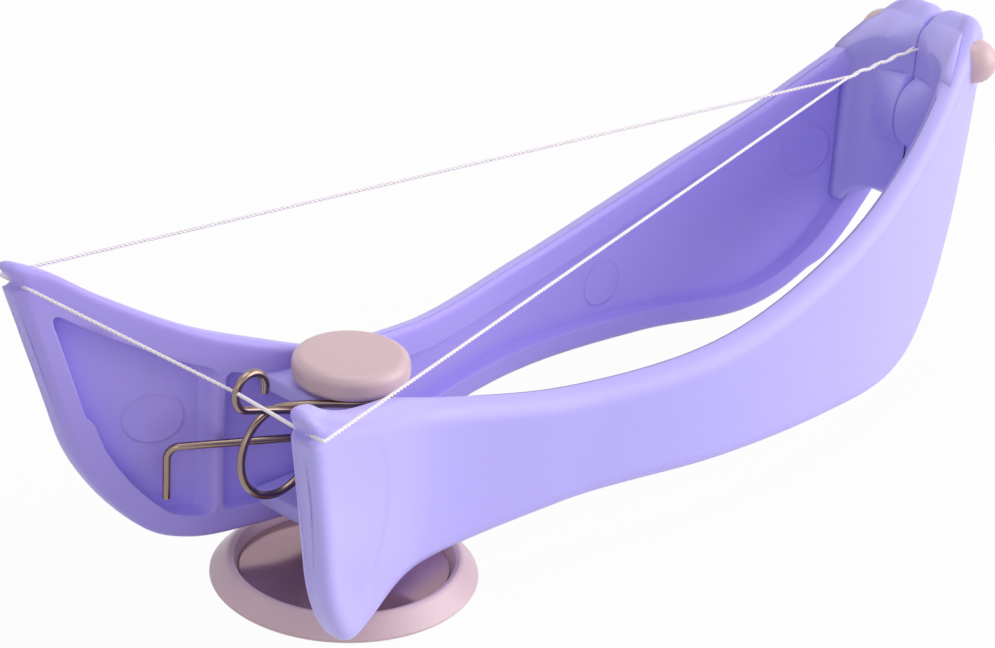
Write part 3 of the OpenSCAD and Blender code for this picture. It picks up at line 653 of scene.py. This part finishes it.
def tip_block(arm):
    """Solid block of a tip: its outline in the side view, carried from the web to the mid-plane.

    The outline follows the arm round the tip, and a straight face and the pad's arc on the pivot's side.
    On that side the rings start at a straight root, flared by a quarter-round fillet that grows to the
    head, and blend to the outline at the meeting face, where all of them close in over a rounded edge.
    Near the foot they are lifted off the arm's lower edge, and over the border they stand a hair proud."""
    tips, s, x0 = arm.tips, arm.sizes, arm.block_x
    first_station, step, merge_over, head_reach, foot_reach = 9.3, 0.22, 0.8, 7, 9
    hair, sunk, crown_back, crown_up = 0.012, 0.3, 0.5, 0.9
    middle = np.array([x0 + tips["pad_ahead"], s["tip_top"] - tips["pad_drop"]])
    t = np.linspace(first_station, arm.last, 320)
    low, high = through(arm.lower, t), through(arm.upper, t)
    foot = np.array([x0, np.interp(x0, low[:, 0], low[:, 1])])
    head = np.array([x0, np.interp(x0, high[:, 0], high[:, 1])])
    slope = (head[1] - np.interp(x0 - tips["head_fillet"], high[:, 0], high[:, 1])) / tips["head_fillet"]
    half = math.sqrt(tips["pad"] ** 2 - tips["pad_ahead"] ** 2)
    first = math.atan2(half, -tips["pad_ahead"])
    turn = np.linspace(first, 2 * math.pi - first, 50)[:, None]
    arc = middle + tips["pad"] * np.concatenate([np.cos(turn), np.sin(turn)], 1)
    border = np.concatenate([low[low[:, 0] > x0], high[high[:, 0] > x0 + tips["crown"]][::-1]])
    corner = softened([border[-1], head, head - [0, tips["crown"]]], [tips["crown"]], 12)[1:]
    share = np.linspace(0, 1, 26)[:, None]
    outline = np.concatenate([border, corner, corner[-1] + (arc[0] - corner[-1]) * share[1:], arc[1:-1],
                              arc[-1] + (foot - arc[-1]) * share[:-1], border[:1]])
    outline = resampled(outline, step)[0][:-1]
    way = np.roll(outline, -1, 0) - np.roll(outline, 1, 0)
    out = np.stack([way[:, 1], -way[:, 0]], -1) / np.linalg.norm(way, axis=1, keepdims=True)
    back = ease(distance_to(border, outline[None])[0] / merge_over)[:, None]
    crown = ease(out[:, :1] * crown_back + out[:, 1:] * crown_up)
    radius = tips["face_edge"] + (tips["crown"] - tips["face_edge"]) * crown
    upper = ease((outline[:, 1:] - head[1] + head_reach) / head_reach) * back
    along = np.concatenate([np.ones_like(upper), slope * upper], 1) * back
    root = outline + along * (x0 - tips["root"] - outline[:, :1])
    fillet = tips["fillet"] + (tips["head_fillet"] - tips["fillet"]) * upper
    lifted = tips["foot_rise"] * ease(1 - (outline[:, 1:] - foot[1]) / foot_reach) * np.array([0, 1])
    proud = hair * out * (1 - back)
    side = (s["arm_depth"] - s["edge"]) * (1 - back[:, 0])
    floor = tips["gap"] / 2

    def ring(place, height):
        """The places of a side view, each at its height above the mid-plane."""
        return np.stack([place[:, 0], np.maximum(height, floor), place[:, 1]], -1)

    place = root - along * fillet - sunk * out * (1 - back)
    rings = [ring(place, arm.inner(place[:, 0]) + (s["arm_depth"] - s["web"] + sunk) * back[:, 0] + side)]
    for lift in (0, 0.05, 0.15, 0.3, 0.45, 0.65, 0.85, 1):
        curve = 1 - math.sqrt(1 - (1 - lift) ** 2)
        place = root - along * fillet * curve + lifted * (1 - curve) + proud
        base = arm.inner(place[:, 0])
        rings.append(ring(place, base + side - lift * np.minimum(fillet[:, 0], base - floor - tips["crown"])))
    height = rings[-1][:, 1]
    for share in (0.25, 0.5, 0.75, 1):
        place = root + (outline - root) * share + lifted + proud
        rings.append(ring(place, height + (floor + radius[:, 0] - height) * share))
    for angle in np.radians([15, 30, 45, 60, 75, 90]):
        place = outline + lifted + proud - out * radius * (1 - math.cos(angle))
        rings.append(ring(place, floor + radius[:, 0] * (1 - math.sin(angle))))
    return closed_rings(rings)


def ear(mm, z):
    """Hinge ear: a plate round the bore, a circle towards the pivot's far side and a bridge to the web."""
    h = mm.hinge
    bevel, soft, overlap, tiny = 0.3, 0.09, 0.15, 1e-6
    angle = np.linspace(0, 2 * math.pi, 160, endpoint=False)
    across, up = np.abs(np.cos(angle)), np.sin(angle)
    reach = mm.arms["waist_half"] - mm.arms["web"] + overlap
    bridge = np.minimum(h["ear_radius"] / np.maximum(across, tiny), reach / np.maximum(up, tiny))
    rim = np.where(up > 0, bridge, h["ear_radius"])
    bore = np.full_like(rim, h["post"] + h["play"])
    top = h["ear"]
    rings = [(bore, bevel), (bore, top - bevel), (bore + bevel, top), (rim - bevel, top),
             (rim - soft, top - soft), (rim, top - bevel), (rim, bevel), (rim - soft, soft),
             (rim - bevel, 0), (bore + bevel, 0)]
    grid = [np.stack([r * np.cos(angle), r * np.sin(angle), np.full_like(r, z + lift)], -1)
            for r, lift in rings]
    return np.concatenate(grid), lattice(len(rings), len(angle), close_cols=True, close_rows=True)


# Routes of the wires and the thread


def spring_leg(mm, arm, z, turn):
    """Leg of the arm spring on the rear side: on the coil, square off it to the bend, and its bent end."""
    w = mm.wires
    bend = np.array([-w["leg_reach"], arm.inner(-w["leg_reach"]) - w["leg_gap"] - w["diameter"] / 2, z])
    start = math.atan2(bend[1], bend[0]) - math.acos(w["coil"] / math.hypot(bend[0], bend[1]))
    leave = np.array([w["coil"] * math.cos(start), w["coil"] * math.sin(start), z])
    u = (bend - leave) / np.linalg.norm(bend - leave)
    down = np.array([0, 0, turn])
    bend_share, lead_angle = 1.6, 24
    radius = bend_share * w["diameter"]
    lead = start - np.radians(np.linspace(lead_angle, 0, 10)[:-1])
    on_coil = np.stack([w["coil"] * np.cos(lead), w["coil"] * np.sin(lead), np.full_like(lead, z)], -1)
    straight = leave + (bend - u * radius - leave) * np.linspace(0, 1, 14)[:, None]
    quarter = np.radians(np.linspace(0, 90, 12))[1:, None]
    corner = bend - u * radius * (1 - np.sin(quarter)) + down * radius * (1 - np.cos(quarter))
    end = bend + down * (radius + (w["leg_drop"] - radius) * np.linspace(0, 1, 6)[1:, None])
    return np.concatenate([on_coil, straight, corner, end]), start


def spring_coil(mm, start):
    """Helix between the two legs of the arm spring: an even rise over whole turns and the legs' angle."""
    w = mm.wires
    low = w["leg_z"] - w["turns"] * w["pitch"]
    sweep = 2 * math.pi * w["turns"] - 2 * start
    share = np.linspace(0, 1, 60 * w["turns"])
    angle, height = -start - sweep * share, low + (w["leg_z"] - low) * share
    return np.stack([w["coil"] * np.cos(angle), w["coil"] * np.sin(angle), height], -1)


def hook_route(mm):
    """Hook wire: a part turn under the cap, an upright loop, a rising shank and an open eye."""
    w, rise, eye_turn = mm.wires, math.radians(18), math.radians(272)
    lead_from, lead_to, lead_gap, loop_lift, coil_shift = 60, -135, 0.1, 0.2, 0.6
    z = mm.hinge["ear_top"] + w["diameter"] / 2 + lead_gap
    angle = np.radians(np.linspace(lead_from, lead_to, 44))
    lead = w["hook_turn"] * np.stack([np.cos(angle), np.sin(angle), 0 * angle], -1) + np.array([0, 0, z])
    top, shift = z + loop_lift, coil_shift * w["diameter"]
    loop_x = -mm.hinge["ear_radius"] - w["loop_gap"] - w["diameter"] / 2 - w["loop"]
    leave = 2 * math.pi - rise
    h = np.linspace(0, leave, 72)
    loop = np.stack([loop_x - w["loop"] * np.sin(h), shift * (1 - 2 * h / leave),
                     top - w["loop"] + w["loop"] * np.cos(h)], -1)
    leave_lead, reach_loop = np.array([-4.2, 4.2, 0]), np.array([-6.0, 0, 0])
    bridge = hermite(np.linspace(0, 1, 16)[1:-1, None], lead[-1], loop[0], leave_lead, reach_loop)
    way = np.array([-math.cos(rise), 0, math.sin(rise)])
    shank = loop[-1] + way * w["shank"] * np.linspace(0, 1, 12)[1:, None]
    begin = 1.5 * math.pi - rise
    middle = shank[-1] - w["eye"] * np.array([math.cos(begin), 0, math.sin(begin)])
    k = (begin - np.linspace(0, eye_turn, 44))[1:, None]
    eye = middle + w["eye"] * np.concatenate([np.cos(k), 0 * k, np.sin(k)], 1)
    return np.concatenate([lead, bridge, loop, shank, eye]), middle


def plied(path, mm):
    """Two plies wound round a path: each is offset from it by a normal that turns once every lay length."""
    th = mm.thread
    step, offset, ply = 0.11, 0.22 * th["diameter"], 0.3 * th["diameter"]
    path, run = resampled(path, step)
    _, n, b = carried_frame(path)
    plies = []
    for phase in (0, math.pi):
        angle = (2 * math.pi * run / th["lay"] + phase)[:, None]
        plies.append(tube(path + offset * (np.cos(angle) * n + np.sin(angle) * b), ply, sides=7))
    return joined(*plies)


# Materials


def new_group(name, inputs, outputs):
    """A shader node group with named sockets, and its two end nodes: an input is (name, kind, default)."""
    group = bpy.data.node_groups.new(name, "ShaderNodeTree")
    for label, kind, default in inputs:
        socket = group.interface.new_socket(name=label, in_out="INPUT", socket_type=kind)
        if default is not None:
            socket.default_value = default
    for label, kind in outputs:
        group.interface.new_socket(name=label, in_out="OUTPUT", socket_type=kind)
    return group, group.nodes.new("NodeGroupInput").outputs, group.nodes.new("NodeGroupOutput").inputs


def node(tree, kind, links, **values):
    """Outputs of a node with its properties set and its inputs linked to sockets or given values."""
    made = tree.nodes.new(kind)
    for key, value in values.items():
        setattr(made, key, value)
    for key, value in links.items():
        if isinstance(value, bpy.types.NodeSocket):
            tree.links.new(value, made.inputs[key])
        else:
            made.inputs[key].default_value = value
    return made.outputs


def maths(tree, first, second, operation="ADD"):
    """Output of a math node on two sockets or numbers."""
    return node(tree, "ShaderNodeMath", {0: first, 1: second}, operation=operation)[0]


def moulded_group():
    """Moulded plastic: slow colour drift, smudged roughness and the faint texture of the mould."""
    group, given, out = new_group(
        "Moulded Plastic",
        [("Vector", "NodeSocketVector", None), ("Colour", "NodeSocketColor", (0.5, 0.5, 0.5, 1)),
         ("Drift", "NodeSocketFloat", 0.05), ("Roughness", "NodeSocketFloat", 0.3),
         ("Smudge", "NodeSocketFloat", 0.1), ("Texture", "NodeSocketFloat", 0.03)],
        [("Colour", "NodeSocketColor"), ("Roughness", "NodeSocketFloat"), ("Normal", "NodeSocketVector")])
    slow, smudged, grain = (
        node(group, "ShaderNodeTexNoise", {"Vector": given["Vector"], "Scale": scale, "Detail": 3.0})[0]
        for scale in (38.0, 420.0, 2600.0))
    drift = maths(group, maths(group, slow, -0.5), given["Drift"], "MULTIPLY")
    tint = node(group, "ShaderNodeHueSaturation",
                {"Value": maths(group, drift, 1.0), "Color": given["Colour"]})
    group.links.new(tint["Color"], out["Colour"])
    smudge = maths(group, maths(group, smudged, -0.5), given["Smudge"], "MULTIPLY")
    group.links.new(maths(group, smudge, given["Roughness"]), out["Roughness"])
    bump = node(group, "ShaderNodeBump", {"Strength": given["Texture"], "Distance": 0.0002,
                                          "Height": maths(group, smudged, grain)})
    group.links.new(bump["Normal"], out["Normal"])
    return group


def disc_mark_group():
    """Round mark of an ejector pin, as a height: a raised ring at a radius from an axis along Y, where the
    height falls as 1 / (1 + e^2) with the distance e in widths of the edge, round a slightly raised disc."""
    disc = 0.4
    group, given, out = new_group(
        "Disc Mark",
        [("Vector", "NodeSocketVector", None), ("Centre", "NodeSocketVector", (0, 0, 0)),
         ("Radius", "NodeSocketFloat", 0.003), ("Edge", "NodeSocketFloat", 0.0002)],
        [("Height", "NodeSocketFloat")])
    off = node(group, "ShaderNodeVectorMath", {0: given["Vector"], 1: given["Centre"]}, operation="SUBTRACT")
    flat = node(group, "ShaderNodeVectorMath", {0: off[0], 1: (1, 0, 1)}, operation="MULTIPLY")
    size = node(group, "ShaderNodeVectorMath", {0: flat[0]}, operation="LENGTH")["Value"]
    edge = maths(group, maths(group, size, given["Radius"], "SUBTRACT"), given["Edge"], "DIVIDE")
    ring = maths(group, 1.0, maths(group, maths(group, edge, edge, "MULTIPLY"), 1.0), "DIVIDE")
    inside = node(group, "ShaderNodeMapRange", {0: edge, 1: 1.0, 2: -1.0, 3: 0.0, 4: 1.0})[0]
    group.links.new(maths(group, ring, maths(group, inside, disc, "MULTIPLY")), out["Height"])
    return group


def add_group(tree, name, make, **values):
    """Outputs of a node that uses the named group, which is made the first time it is asked for."""
    made = tree.nodes.new("ShaderNodeGroup")
    made.node_tree = bpy.data.node_groups.get(name) or make()
    for key, value in values.items():
        if isinstance(value, bpy.types.NodeSocket):
            tree.links.new(value, made.inputs[key])
        else:
            made.inputs[key].default_value = value
    return made.outputs


def principled(name, **values):
    """A material with a Principled BSDF whose plain sockets are set."""
    material = bpy.data.materials.new(name)
    material.use_nodes = True
    shader = material.node_tree.nodes["Principled BSDF"]
    for key, value in values.items():
        shader.inputs[key.replace("_", " ")].default_value = value
    return material, material.node_tree, shader


def plastic(name, base, roughness, smudge=0.1, texture=0.03, **values):
    """A moulded plastic material."""
    material, tree, shader = principled(name, **values)
    place = node(tree, "ShaderNodeTexCoord", {})["Object"]
    skin = add_group(tree, "Moulded Plastic", moulded_group, Vector=place, Colour=(*base, 1),
                     Roughness=roughness, Smudge=smudge, Texture=texture)
    tree.links.new(skin["Colour"], shader.inputs["Base Color"])
    tree.links.new(skin["Roughness"], shader.inputs["Roughness"])
    tree.links.new(skin["Normal"], shader.inputs["Normal"])
    return material


def arm_plastic(name, base, inner, marks):
    """The arms' plastic, with painted shade on the inner faces: a deeper lavender mixed in by the hollow
    mask, which also raises the ejector pins' marks as rings there.
    """
    material = plastic(name, base, roughness=0.38, Subsurface_Weight=0.12, Subsurface_Scale=0.004,
                       Subsurface_Radius=(0.6, 0.5, 1.0), Coat_Weight=0.05, Coat_Roughness=0.2,
                       Specular_IOR_Level=0.25)
    tree = material.node_tree
    hollow = node(tree, "ShaderNodeAttribute", {}, attribute_name="hollow")["Fac"]
    # Painted shade: the deeper lavender is mixed onto the inner sheet, where the hollow mask is 1.
    shade = node(tree, "ShaderNodeMix", {0: hollow, 6: (*base, 1), 7: (*inner, 1)}, data_type="RGBA")[2]
    normal = tree.nodes["Principled BSDF"].inputs["Normal"]
    tree.links.new(shade, normal.links[0].from_node.inputs["Colour"])
    place = node(tree, "ShaderNodeTexCoord", {})["Object"]
    height = 0.0
    for x, z, radius in marks:
        mark = add_group(tree, "Disc Mark", disc_mark_group, Vector=place, Centre=(x * MM, 0, z * MM),
                         Radius=radius * MM)["Height"]
        height = maths(tree, height, mark, "MAXIMUM")
    bump = node(tree, "ShaderNodeBump", {"Strength": 0.8, "Distance": 0.0002,
                                         "Normal": normal.links[0].from_socket,
                                         "Height": maths(tree, height, hollow, "MULTIPLY")})
    tree.links.new(bump["Normal"], normal)
    return material


def streaked(tree, shader, base, scale, detail):
    """Fine noise in object space that varies the brightness of the base colour a little."""
    place = node(tree, "ShaderNodeTexCoord", {})["Object"]
    noise = node(tree, "ShaderNodeTexNoise", {"Vector": place, "Scale": scale, "Detail": detail})[0]
    shade = node(tree, "ShaderNodeMapRange", {0: noise, 3: 0.9, 4: 1.08})[0]
    tint = node(tree, "ShaderNodeHueSaturation", {"Color": (*base, 1), "Value": shade})["Color"]
    tree.links.new(tint, shader.inputs["Base Color"])
    return noise


def metal(name, base, roughness):
    """Drawn metal: fine streaks in colour and roughness."""
    material, tree, shader = principled(name, Metallic=1.0)
    streak = streaked(tree, shader, base, 900.0, 3.0)
    rough = node(tree, "ShaderNodeMapRange", {0: streak, 3: roughness - 0.06, 4: roughness + 0.08})[0]
    tree.links.new(rough, shader.inputs["Roughness"])
    return material


def cotton(name, base):
    """Thread: fine fibres in colour and bump, with a soft sheen."""
    material, tree, shader = principled(name, Sheen_Weight=0.3, Sheen_Roughness=0.5, Roughness=0.7)
    fibre = streaked(tree, shader, base, 3500.0, 4.0)
    bump = node(tree, "ShaderNodeBump", {"Strength": 0.3, "Distance": 0.0001, "Height": fibre})
    tree.links.new(bump["Normal"], shader.inputs["Normal"])
    return material


def finish(slot):
    """The look of a slot, made the first time it is asked for. A mark is its place along, height, radius."""
    f, name = settings().finishes, slot + "_look"
    marks = [(-16.4, 20.8, 3.3), (67.3, 14.1, 3.4), (103.1, 27.2, 3.9)]
    makers = {
        "lavender_plastic": lambda: arm_plastic(name, f.lavender, f.inner, marks),
        "pink_plastic": lambda: plastic(name, f.pink, roughness=0.35),
        "dish_floor": lambda: plastic(name, f.mauve, roughness=0.15, smudge=0.05, texture=0.0, Metallic=0.5),
        "post_steel": lambda: metal(name, f.steel, 0.3),
        "spring_wire": lambda: metal(name, f.nickel, 0.2),
        "cotton_thread": lambda: cotton(name, f.cotton),
    }
    return bpy.data.materials.get(name) or makers[slot]()


# Operators


def bright_to_camera(tree, plain, bright, share):
    """Mix of a plain and a bright shader: camera, glossy and transmission rays see the bright one."""
    path = node(tree, "ShaderNodeLightPath", {})
    seen = maths(tree, path["Is Camera Ray"], path["Is Glossy Ray"], "MAXIMUM")
    seen = maths(tree, seen, path["Is Transmission Ray"], "MAXIMUM")
    share = maths(tree, seen, share, "MULTIPLY")
    return node(tree, "ShaderNodeMixShader", {0: share, 1: plain, 2: bright})[0]


class THREADER_OT_stage(bpy.types.Operator):
    """Makes the floor, the lights and the camera"""

    bl_idname = "threader.stage"
    bl_label = "Stage"

    def execute(self, context):
        """A wide square floor, white to the camera, the even light, three lamps and the camera."""
        scene, stage = context.scene, settings().stage
        half_width, floor_share = 1500.0, 0.96
        scene.view_settings.view_transform = "Standard"
        material, tree, shader = principled("floor", Roughness=0.9, Base_Color=(*stage.floor, 1))
        glow = node(tree, "ShaderNodeEmission", {"Color": (1, 1, 1, 1), "Strength": 1.0})[0]
        surface = bright_to_camera(tree, shader.outputs[0], glow, floor_share)
        tree.links.new(surface, tree.nodes["Material Output"].inputs["Surface"])
        corners = np.array([(-1, -1, 0), (1, -1, 0), (1, 1, 0), (-1, 1, 0)]) * half_width
        add_mesh("floor", corners, [[0, 1, 2, 3]], material, smooth=False)
        self.world(scene, stage)
        self.lamp(scene, "key_light", (0.62, -0.62, 0.36), 0.8, stage.key)
        self.lamp(scene, "fill_light", (-0.55, -0.55, 0.45), 0.4, stage.fill)
        self.lamp(scene, "top_light", (0.05, 0.10, 0.75), 0.4, stage.top)
        self.camera(scene)
        return {"FINISHED"}

    def world(self, scene, stage):
        """A white surrounding whose own light has the sky's strength."""
        scene.world = bpy.data.worlds.new("studio")
        scene.world.use_nodes = True
        tree = scene.world.node_tree
        plain = tree.nodes["Background"]
        plain.inputs["Color"].default_value = (1, 1, 1, 1)
        plain.inputs["Strength"].default_value = stage.sky
        white = node(tree, "ShaderNodeBackground", {"Color": (1, 1, 1, 1), "Strength": 1.0})[0]
        surface = bright_to_camera(tree, plain.outputs[0], white, 1.0)
        tree.links.new(surface, tree.nodes["World Output"].inputs["Surface"])

    def lamp(self, scene, name, place, size, power):
        """A square lamp of a size and a power that faces the tool."""
        tool = Vector((0.04, 0, 0.02))
        data = bpy.data.lights.new(name, "AREA")
        data.size = size
        data.energy = power
        lamp = bpy.data.objects.new(name, data)
        lamp.location = place
        lamp.rotation_mode = "QUATERNION"
        lamp.rotation_quaternion = (Vector(place) - tool).to_track_quat("Z", "Y")
        scene.collection.objects.link(lamp)

    def camera(self, scene):
        """The camera at its azimuth from -Y, its elevation and its roll, aimed at a place on the tool."""
        azimuth, elevation, roll = (math.radians(v) for v in (-47.65, 25.46, 3.23))
        target, distance = Vector((29.7, 3.4, 24.5)) * MM, 388.7 * MM
        back = Vector((math.sin(azimuth) * math.cos(elevation), -math.cos(azimuth) * math.cos(elevation),
                       math.sin(elevation)))
        level = Vector((math.cos(azimuth), math.sin(azimuth), 0))
        rise = back.cross(level)
        right = level * math.cos(roll) + rise * math.sin(roll)
        up = rise * math.cos(roll) - level * math.sin(roll)
        data = bpy.data.cameras.new("camera")
        data.sensor_width = 36
        data.lens = 108.54
        data.clip_start = 0.01
        data.clip_end = 20
        place = target + back * distance
        camera = bpy.data.objects.new("camera", data)
        camera.matrix_world = Matrix(((right.x, up.x, back.x, place.x), (right.y, up.y, back.y, place.y),
                                      (right.z, up.z, back.z, place.z), (0, 0, 0, 1)))
        scene.collection.objects.link(camera)
        scene.camera = camera


class THREADER_OT_arms(bpy.types.Operator):
    """Makes the two moulded arms with their hollows, ribs, tip blocks and hinge ears"""

    bl_idname = "threader.arms"
    bl_label = "Arms"

    def execute(self, context):
        """Each arm joins its sheets, tip block and two ears. The front one is the mirror image, with its
        ears one step lower. The inner sheet's points are marked as hollow for the material, which paints
        shade there as a deeper lavender and raises the ejector marks there."""
        mm = Millimetres()
        arm, h = Arm(mm), mm.hinge
        step = h["ear"] + h["ear_gap"]
        sheets, block = arm_sheets(arm), tip_block(arm)
        ears = {"rear": (h["ear_low"] + step, h["ear_top"] - h["ear"]),
                "front": (h["ear_low"], h["ear_top"] - h["ear"] - step)}
        half = len(sheets[0]) // 2
        for side, heights in ears.items():
            verts, faces = joined(sheets, block, *(ear(mm, z) for z in heights))
            if side == "front":
                verts = flipped(verts)
            obj = add_mesh(side + "_arm_shell", verts, faces, finish("lavender_plastic"))
            inside = np.zeros(len(verts), np.float32)
            inside[half:2 * half] = 1
            obj.data.attributes.new("hollow", "FLOAT", "POINT").data.foreach_set("value", inside)
            settle(obj, side + "_arm", "lavender_plastic", side + "_arm")
        return {"FINISHED"}


class THREADER_OT_dish(bpy.types.Operator):
    """Makes the dish, its glossy floor, the pivot post and the cap"""

    bl_idname = "threader.dish"
    bl_label = "Dish, post and cap"

    def execute(self, context):
        """Outlines of a radius and a height, with softened corners, turned about the pivot."""
        h = Millimetres().hinge
        pole, foot, rim = 0.001, h["dish_radius"], h["opening"]
        foot_bevel, lip, lip_drop, wall_slope, disc_gap, hub_gap = 0.6, 1, 0.2, 0.6, 0.7, 0.1
        post_in_cap, bevel = 1.6, 0.7
        hub_top = h["ear_low"] - h["ear_gap"]
        dish = softened(
            [(pole, 0), (foot - foot_bevel, 0), (foot, foot_bevel), (rim + lip, h["dish"] - lip_drop),
             (rim + wall_slope, h["dish"]), (rim, h["dish"] - lip_drop), (rim - wall_slope, h["floor"]),
             (h["hub"], h["floor"]), (h["hub"], hub_top), (pole, hub_top)],
            [0.2, 0.3, 0.2, 0.15, 0.15, 0.3, 0.3, 0.6])
        disc_in, disc_out, disc_top = h["hub"] + hub_gap, rim - disc_gap, h["floor"] + h["disc"]
        disc = softened([(disc_in, h["floor"]), (disc_in, disc_top), (disc_out, disc_top),
                         (disc_out, h["floor"])], [0.08, 0.08])
        post_top = h["ear_top"] + h["cap_lift"] + post_in_cap
        post = softened([(pole, h["floor"]), (h["post"], h["floor"]), (h["post"], post_top),
                         (pole, post_top)], [0.2, 0.2])
        low = h["ear_top"] + h["cap_lift"]
        top, flat = low + h["cap"], h["cap_radius"] - h["cap_round"]
        quarter = np.radians(np.linspace(0, 90, 12))
        crown = np.stack([flat + h["cap_round"] * np.cos(quarter),
                          top - h["cap_round"] * (1 - np.sin(quarter))], -1)
        under = softened([(pole, low), (h["cap_radius"] - bevel, low), (h["cap_radius"], low + bevel),
                          crown[0]], [0.3, 0.4])
        cap = np.concatenate([under, crown[1:], [(flat / 2, top), (pole, top)]])
        for name, shell, slot, cad in (
                ("dish_ring", turned(dish), "pink_plastic", "base_dish"),
                ("dish_floor_disc", turned(disc, close=True), "dish_floor", "dish_disc"),
                ("post", turned(post, 64), "post_steel", "pivot_post"),
                ("cap", turned(cap, 128), "pink_plastic", "top_cap")):
            settle(add_mesh(name, *shell, finish(slot)), "pivot", slot, cad)
        return {"FINISHED"}


class THREADER_OT_buttons(bpy.types.Operator):
    """Makes the anchor button on each tip"""

    bl_idname = "threader.buttons"
    bl_label = "Anchor buttons"

    def execute(self, context):
        """A ball turned about the pivot, laid on its side and moved to its place in the tip."""
        mm = Millimetres()
        arm, radius = Arm(mm), mm.tips["button"]
        pole = 89.9
        g = np.radians(np.linspace(-pole, pole, 40))
        ball, faces = turned(radius * np.stack([np.cos(g), np.sin(g)], -1), 72)
        ball = ball[:, [0, 2, 1]] + arm.button
        for side in ("rear", "front"):
            verts = flipped(ball) if side == "front" else ball
            obj = add_mesh(side + "_anchor_button", verts, faces, finish("pink_plastic"))
            settle(obj, side + "_arm", "pink_plastic", side + "_button")
        return {"FINISHED"}


class THREADER_OT_wires(bpy.types.Operator):
    """Makes the arm spring with its two legs, and the thread hook"""

    bl_idname = "threader.wires"
    bl_label = "Spring and hook"

    def execute(self, context):
        """Round tubes along the coil, its two legs and the hook."""
        mm = Millimetres()
        arm, w = Arm(mm), mm.wires
        upper, start = spring_leg(mm, arm, w["leg_z"], -1)
        lower, _ = spring_leg(mm, arm, w["leg_z"] - w["turns"] * w["pitch"], 1)
        for name, path, body, cad in (
                ("spring_coil", spring_coil(mm, start), "pivot", ["arm_spring"]),
                ("spring_rear_leg", upper, "rear_arm", []),
                ("spring_front_leg", flipped(lower), "front_arm", []),
                ("hook_wire", hook_route(mm)[0], "pivot", ["thread_hook"])):
            obj = add_mesh(name, *tube(path, w["diameter"] / 2), finish("spring_wire"))
            settle(obj, body, "spring_wire", *cad)
        return {"FINISHED"}


class THREADER_OT_thread(bpy.types.Operator):
    """Makes the twisted thread from the tips to the notches and the hook's eye"""

    bl_idname = "threader.thread"
    bl_label = "Thread"

    def execute(self, context):
        """Three strands on each side: from the button through the tip and round the other strand to the
        crossing, on to the wing's notch, and from there to the hook's eye."""
        mm = Millimetres()
        arm, th = Arm(mm), mm.thread
        d = th["diameter"]
        mouth_side, mouth_rise, button_gap = 0.4, 0.2, 0.4
        pair_back, pair_drop, outer_gap, inner_gap, eye_gap = 1.5, 0.6, 0.3, 0.2, 0.15
        pair_offset, blend_from, blend_to = 0.3 * d, (25, 0, 40), (-28, 0, 40)
        _, eye = hook_route(mm)
        mouth = np.array([arm.block_x, mouth_side, arm.button[2] + mouth_rise])
        way = (mouth - arm.button) / np.linalg.norm(mouth - arm.button)
        inside = arm.button + way * (mm.tips["button"] + button_gap)
        share = np.linspace(0, 1, 90)[:, None]
        turn = math.pi * ((2 * th["turns"] + 1) * share + 1)
        near = np.array([mouth[0] - pair_back, 0, mouth[2]])
        far = np.array([mm.arms["tip_reach"] - th["crossing"], 0, mouth[2] - pair_drop])
        pair = near + (far - near) * share
        pair = pair + pair_offset * np.concatenate([0 * turn, np.cos(turn), np.sin(turn)], 1)
        seat = arm.notch_seat(d / 2)
        outside = np.array([seat[0], arm.outer(seat[0]) + outer_gap, seat[1]])
        within = np.array([seat[0], arm.inner(seat[0]) - inner_gap, seat[1]])
        hold = eye - np.array([mm.wires["eye"] - mm.wires["diameter"] / 2 - d / 2 - eye_gap, 0, 0])
        for side, far_tip in (("rear", "front"), ("front", "rear")):
            parts = (
                ("tip_strand", far_tip, [*flipped([inside, mouth]), *pair], pair[-1], mouth),
                ("wing_strand", side, [pair[-1], outside, within], blend_from, blend_to),
                ("hook_strand", side, [within, hold], hold, within))
            for kind, arm_name, path, start, end in parts:
                path, start, end = (np.asarray(v, float) if side == "rear" else flipped(v)
                                    for v in (path, start, end))
                name = arm_name + "_" + kind
                obj = add_mesh(name, *plied(path, mm), finish("cotton_thread"))
                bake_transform(obj)
                settle(obj, None, "cotton_thread", *(["thread"] if name == "front_tip_strand" else []))
        return {"FINISHED"}


class THREADER_PT_panel(bpy.types.Panel):
    """The tool's pieces and their sizes"""

    bl_idname = "THREADER_PT_panel"
    bl_label = "Threading Tool"
    bl_space_type = "VIEW_3D"
    bl_region_type = "UI"
    bl_category = "Threading Tool"

    def draw(self, context):
        """A button for each piece and a box for each group of settings."""
        layout, tool = self.layout, context.scene.threading_tool
        for kind in PIECES:
            layout.operator(kind.bl_idname)
        for name in tool.__annotations__:
            box = layout.box()
            group = getattr(tool, name)
            for key in group.__annotations__:
                box.prop(group, key)


PIECES = (THREADER_OT_stage, THREADER_OT_arms, THREADER_OT_dish, THREADER_OT_buttons, THREADER_OT_wires,
          THREADER_OT_thread)
CLASSES = (ArmSizes, NotchSizes, TipSizes, HingeSizes, WireSizes, ThreadSizes, Finishes, StageSettings,
           ToolSettings, *PIECES, THREADER_PT_panel)


def register():
    """Makes the settings, the operators and the panel known."""
    for kind in CLASSES:
        bpy.utils.register_class(kind)
    bpy.types.Scene.threading_tool = PointerProperty(type=ToolSettings)


def unregister():
    """Takes them away again, in reverse order."""
    del bpy.types.Scene.threading_tool
    for kind in reversed(CLASSES):
        bpy.utils.unregister_class(kind)


def main():
    """Makes every piece."""
    register()
    bpy.ops.threader.stage()
    bpy.ops.threader.arms()
    bpy.ops.threader.dish()
    bpy.ops.threader.buttons()
    bpy.ops.threader.wires()
    bpy.ops.threader.thread()


if __name__ == "__main__":
    main()
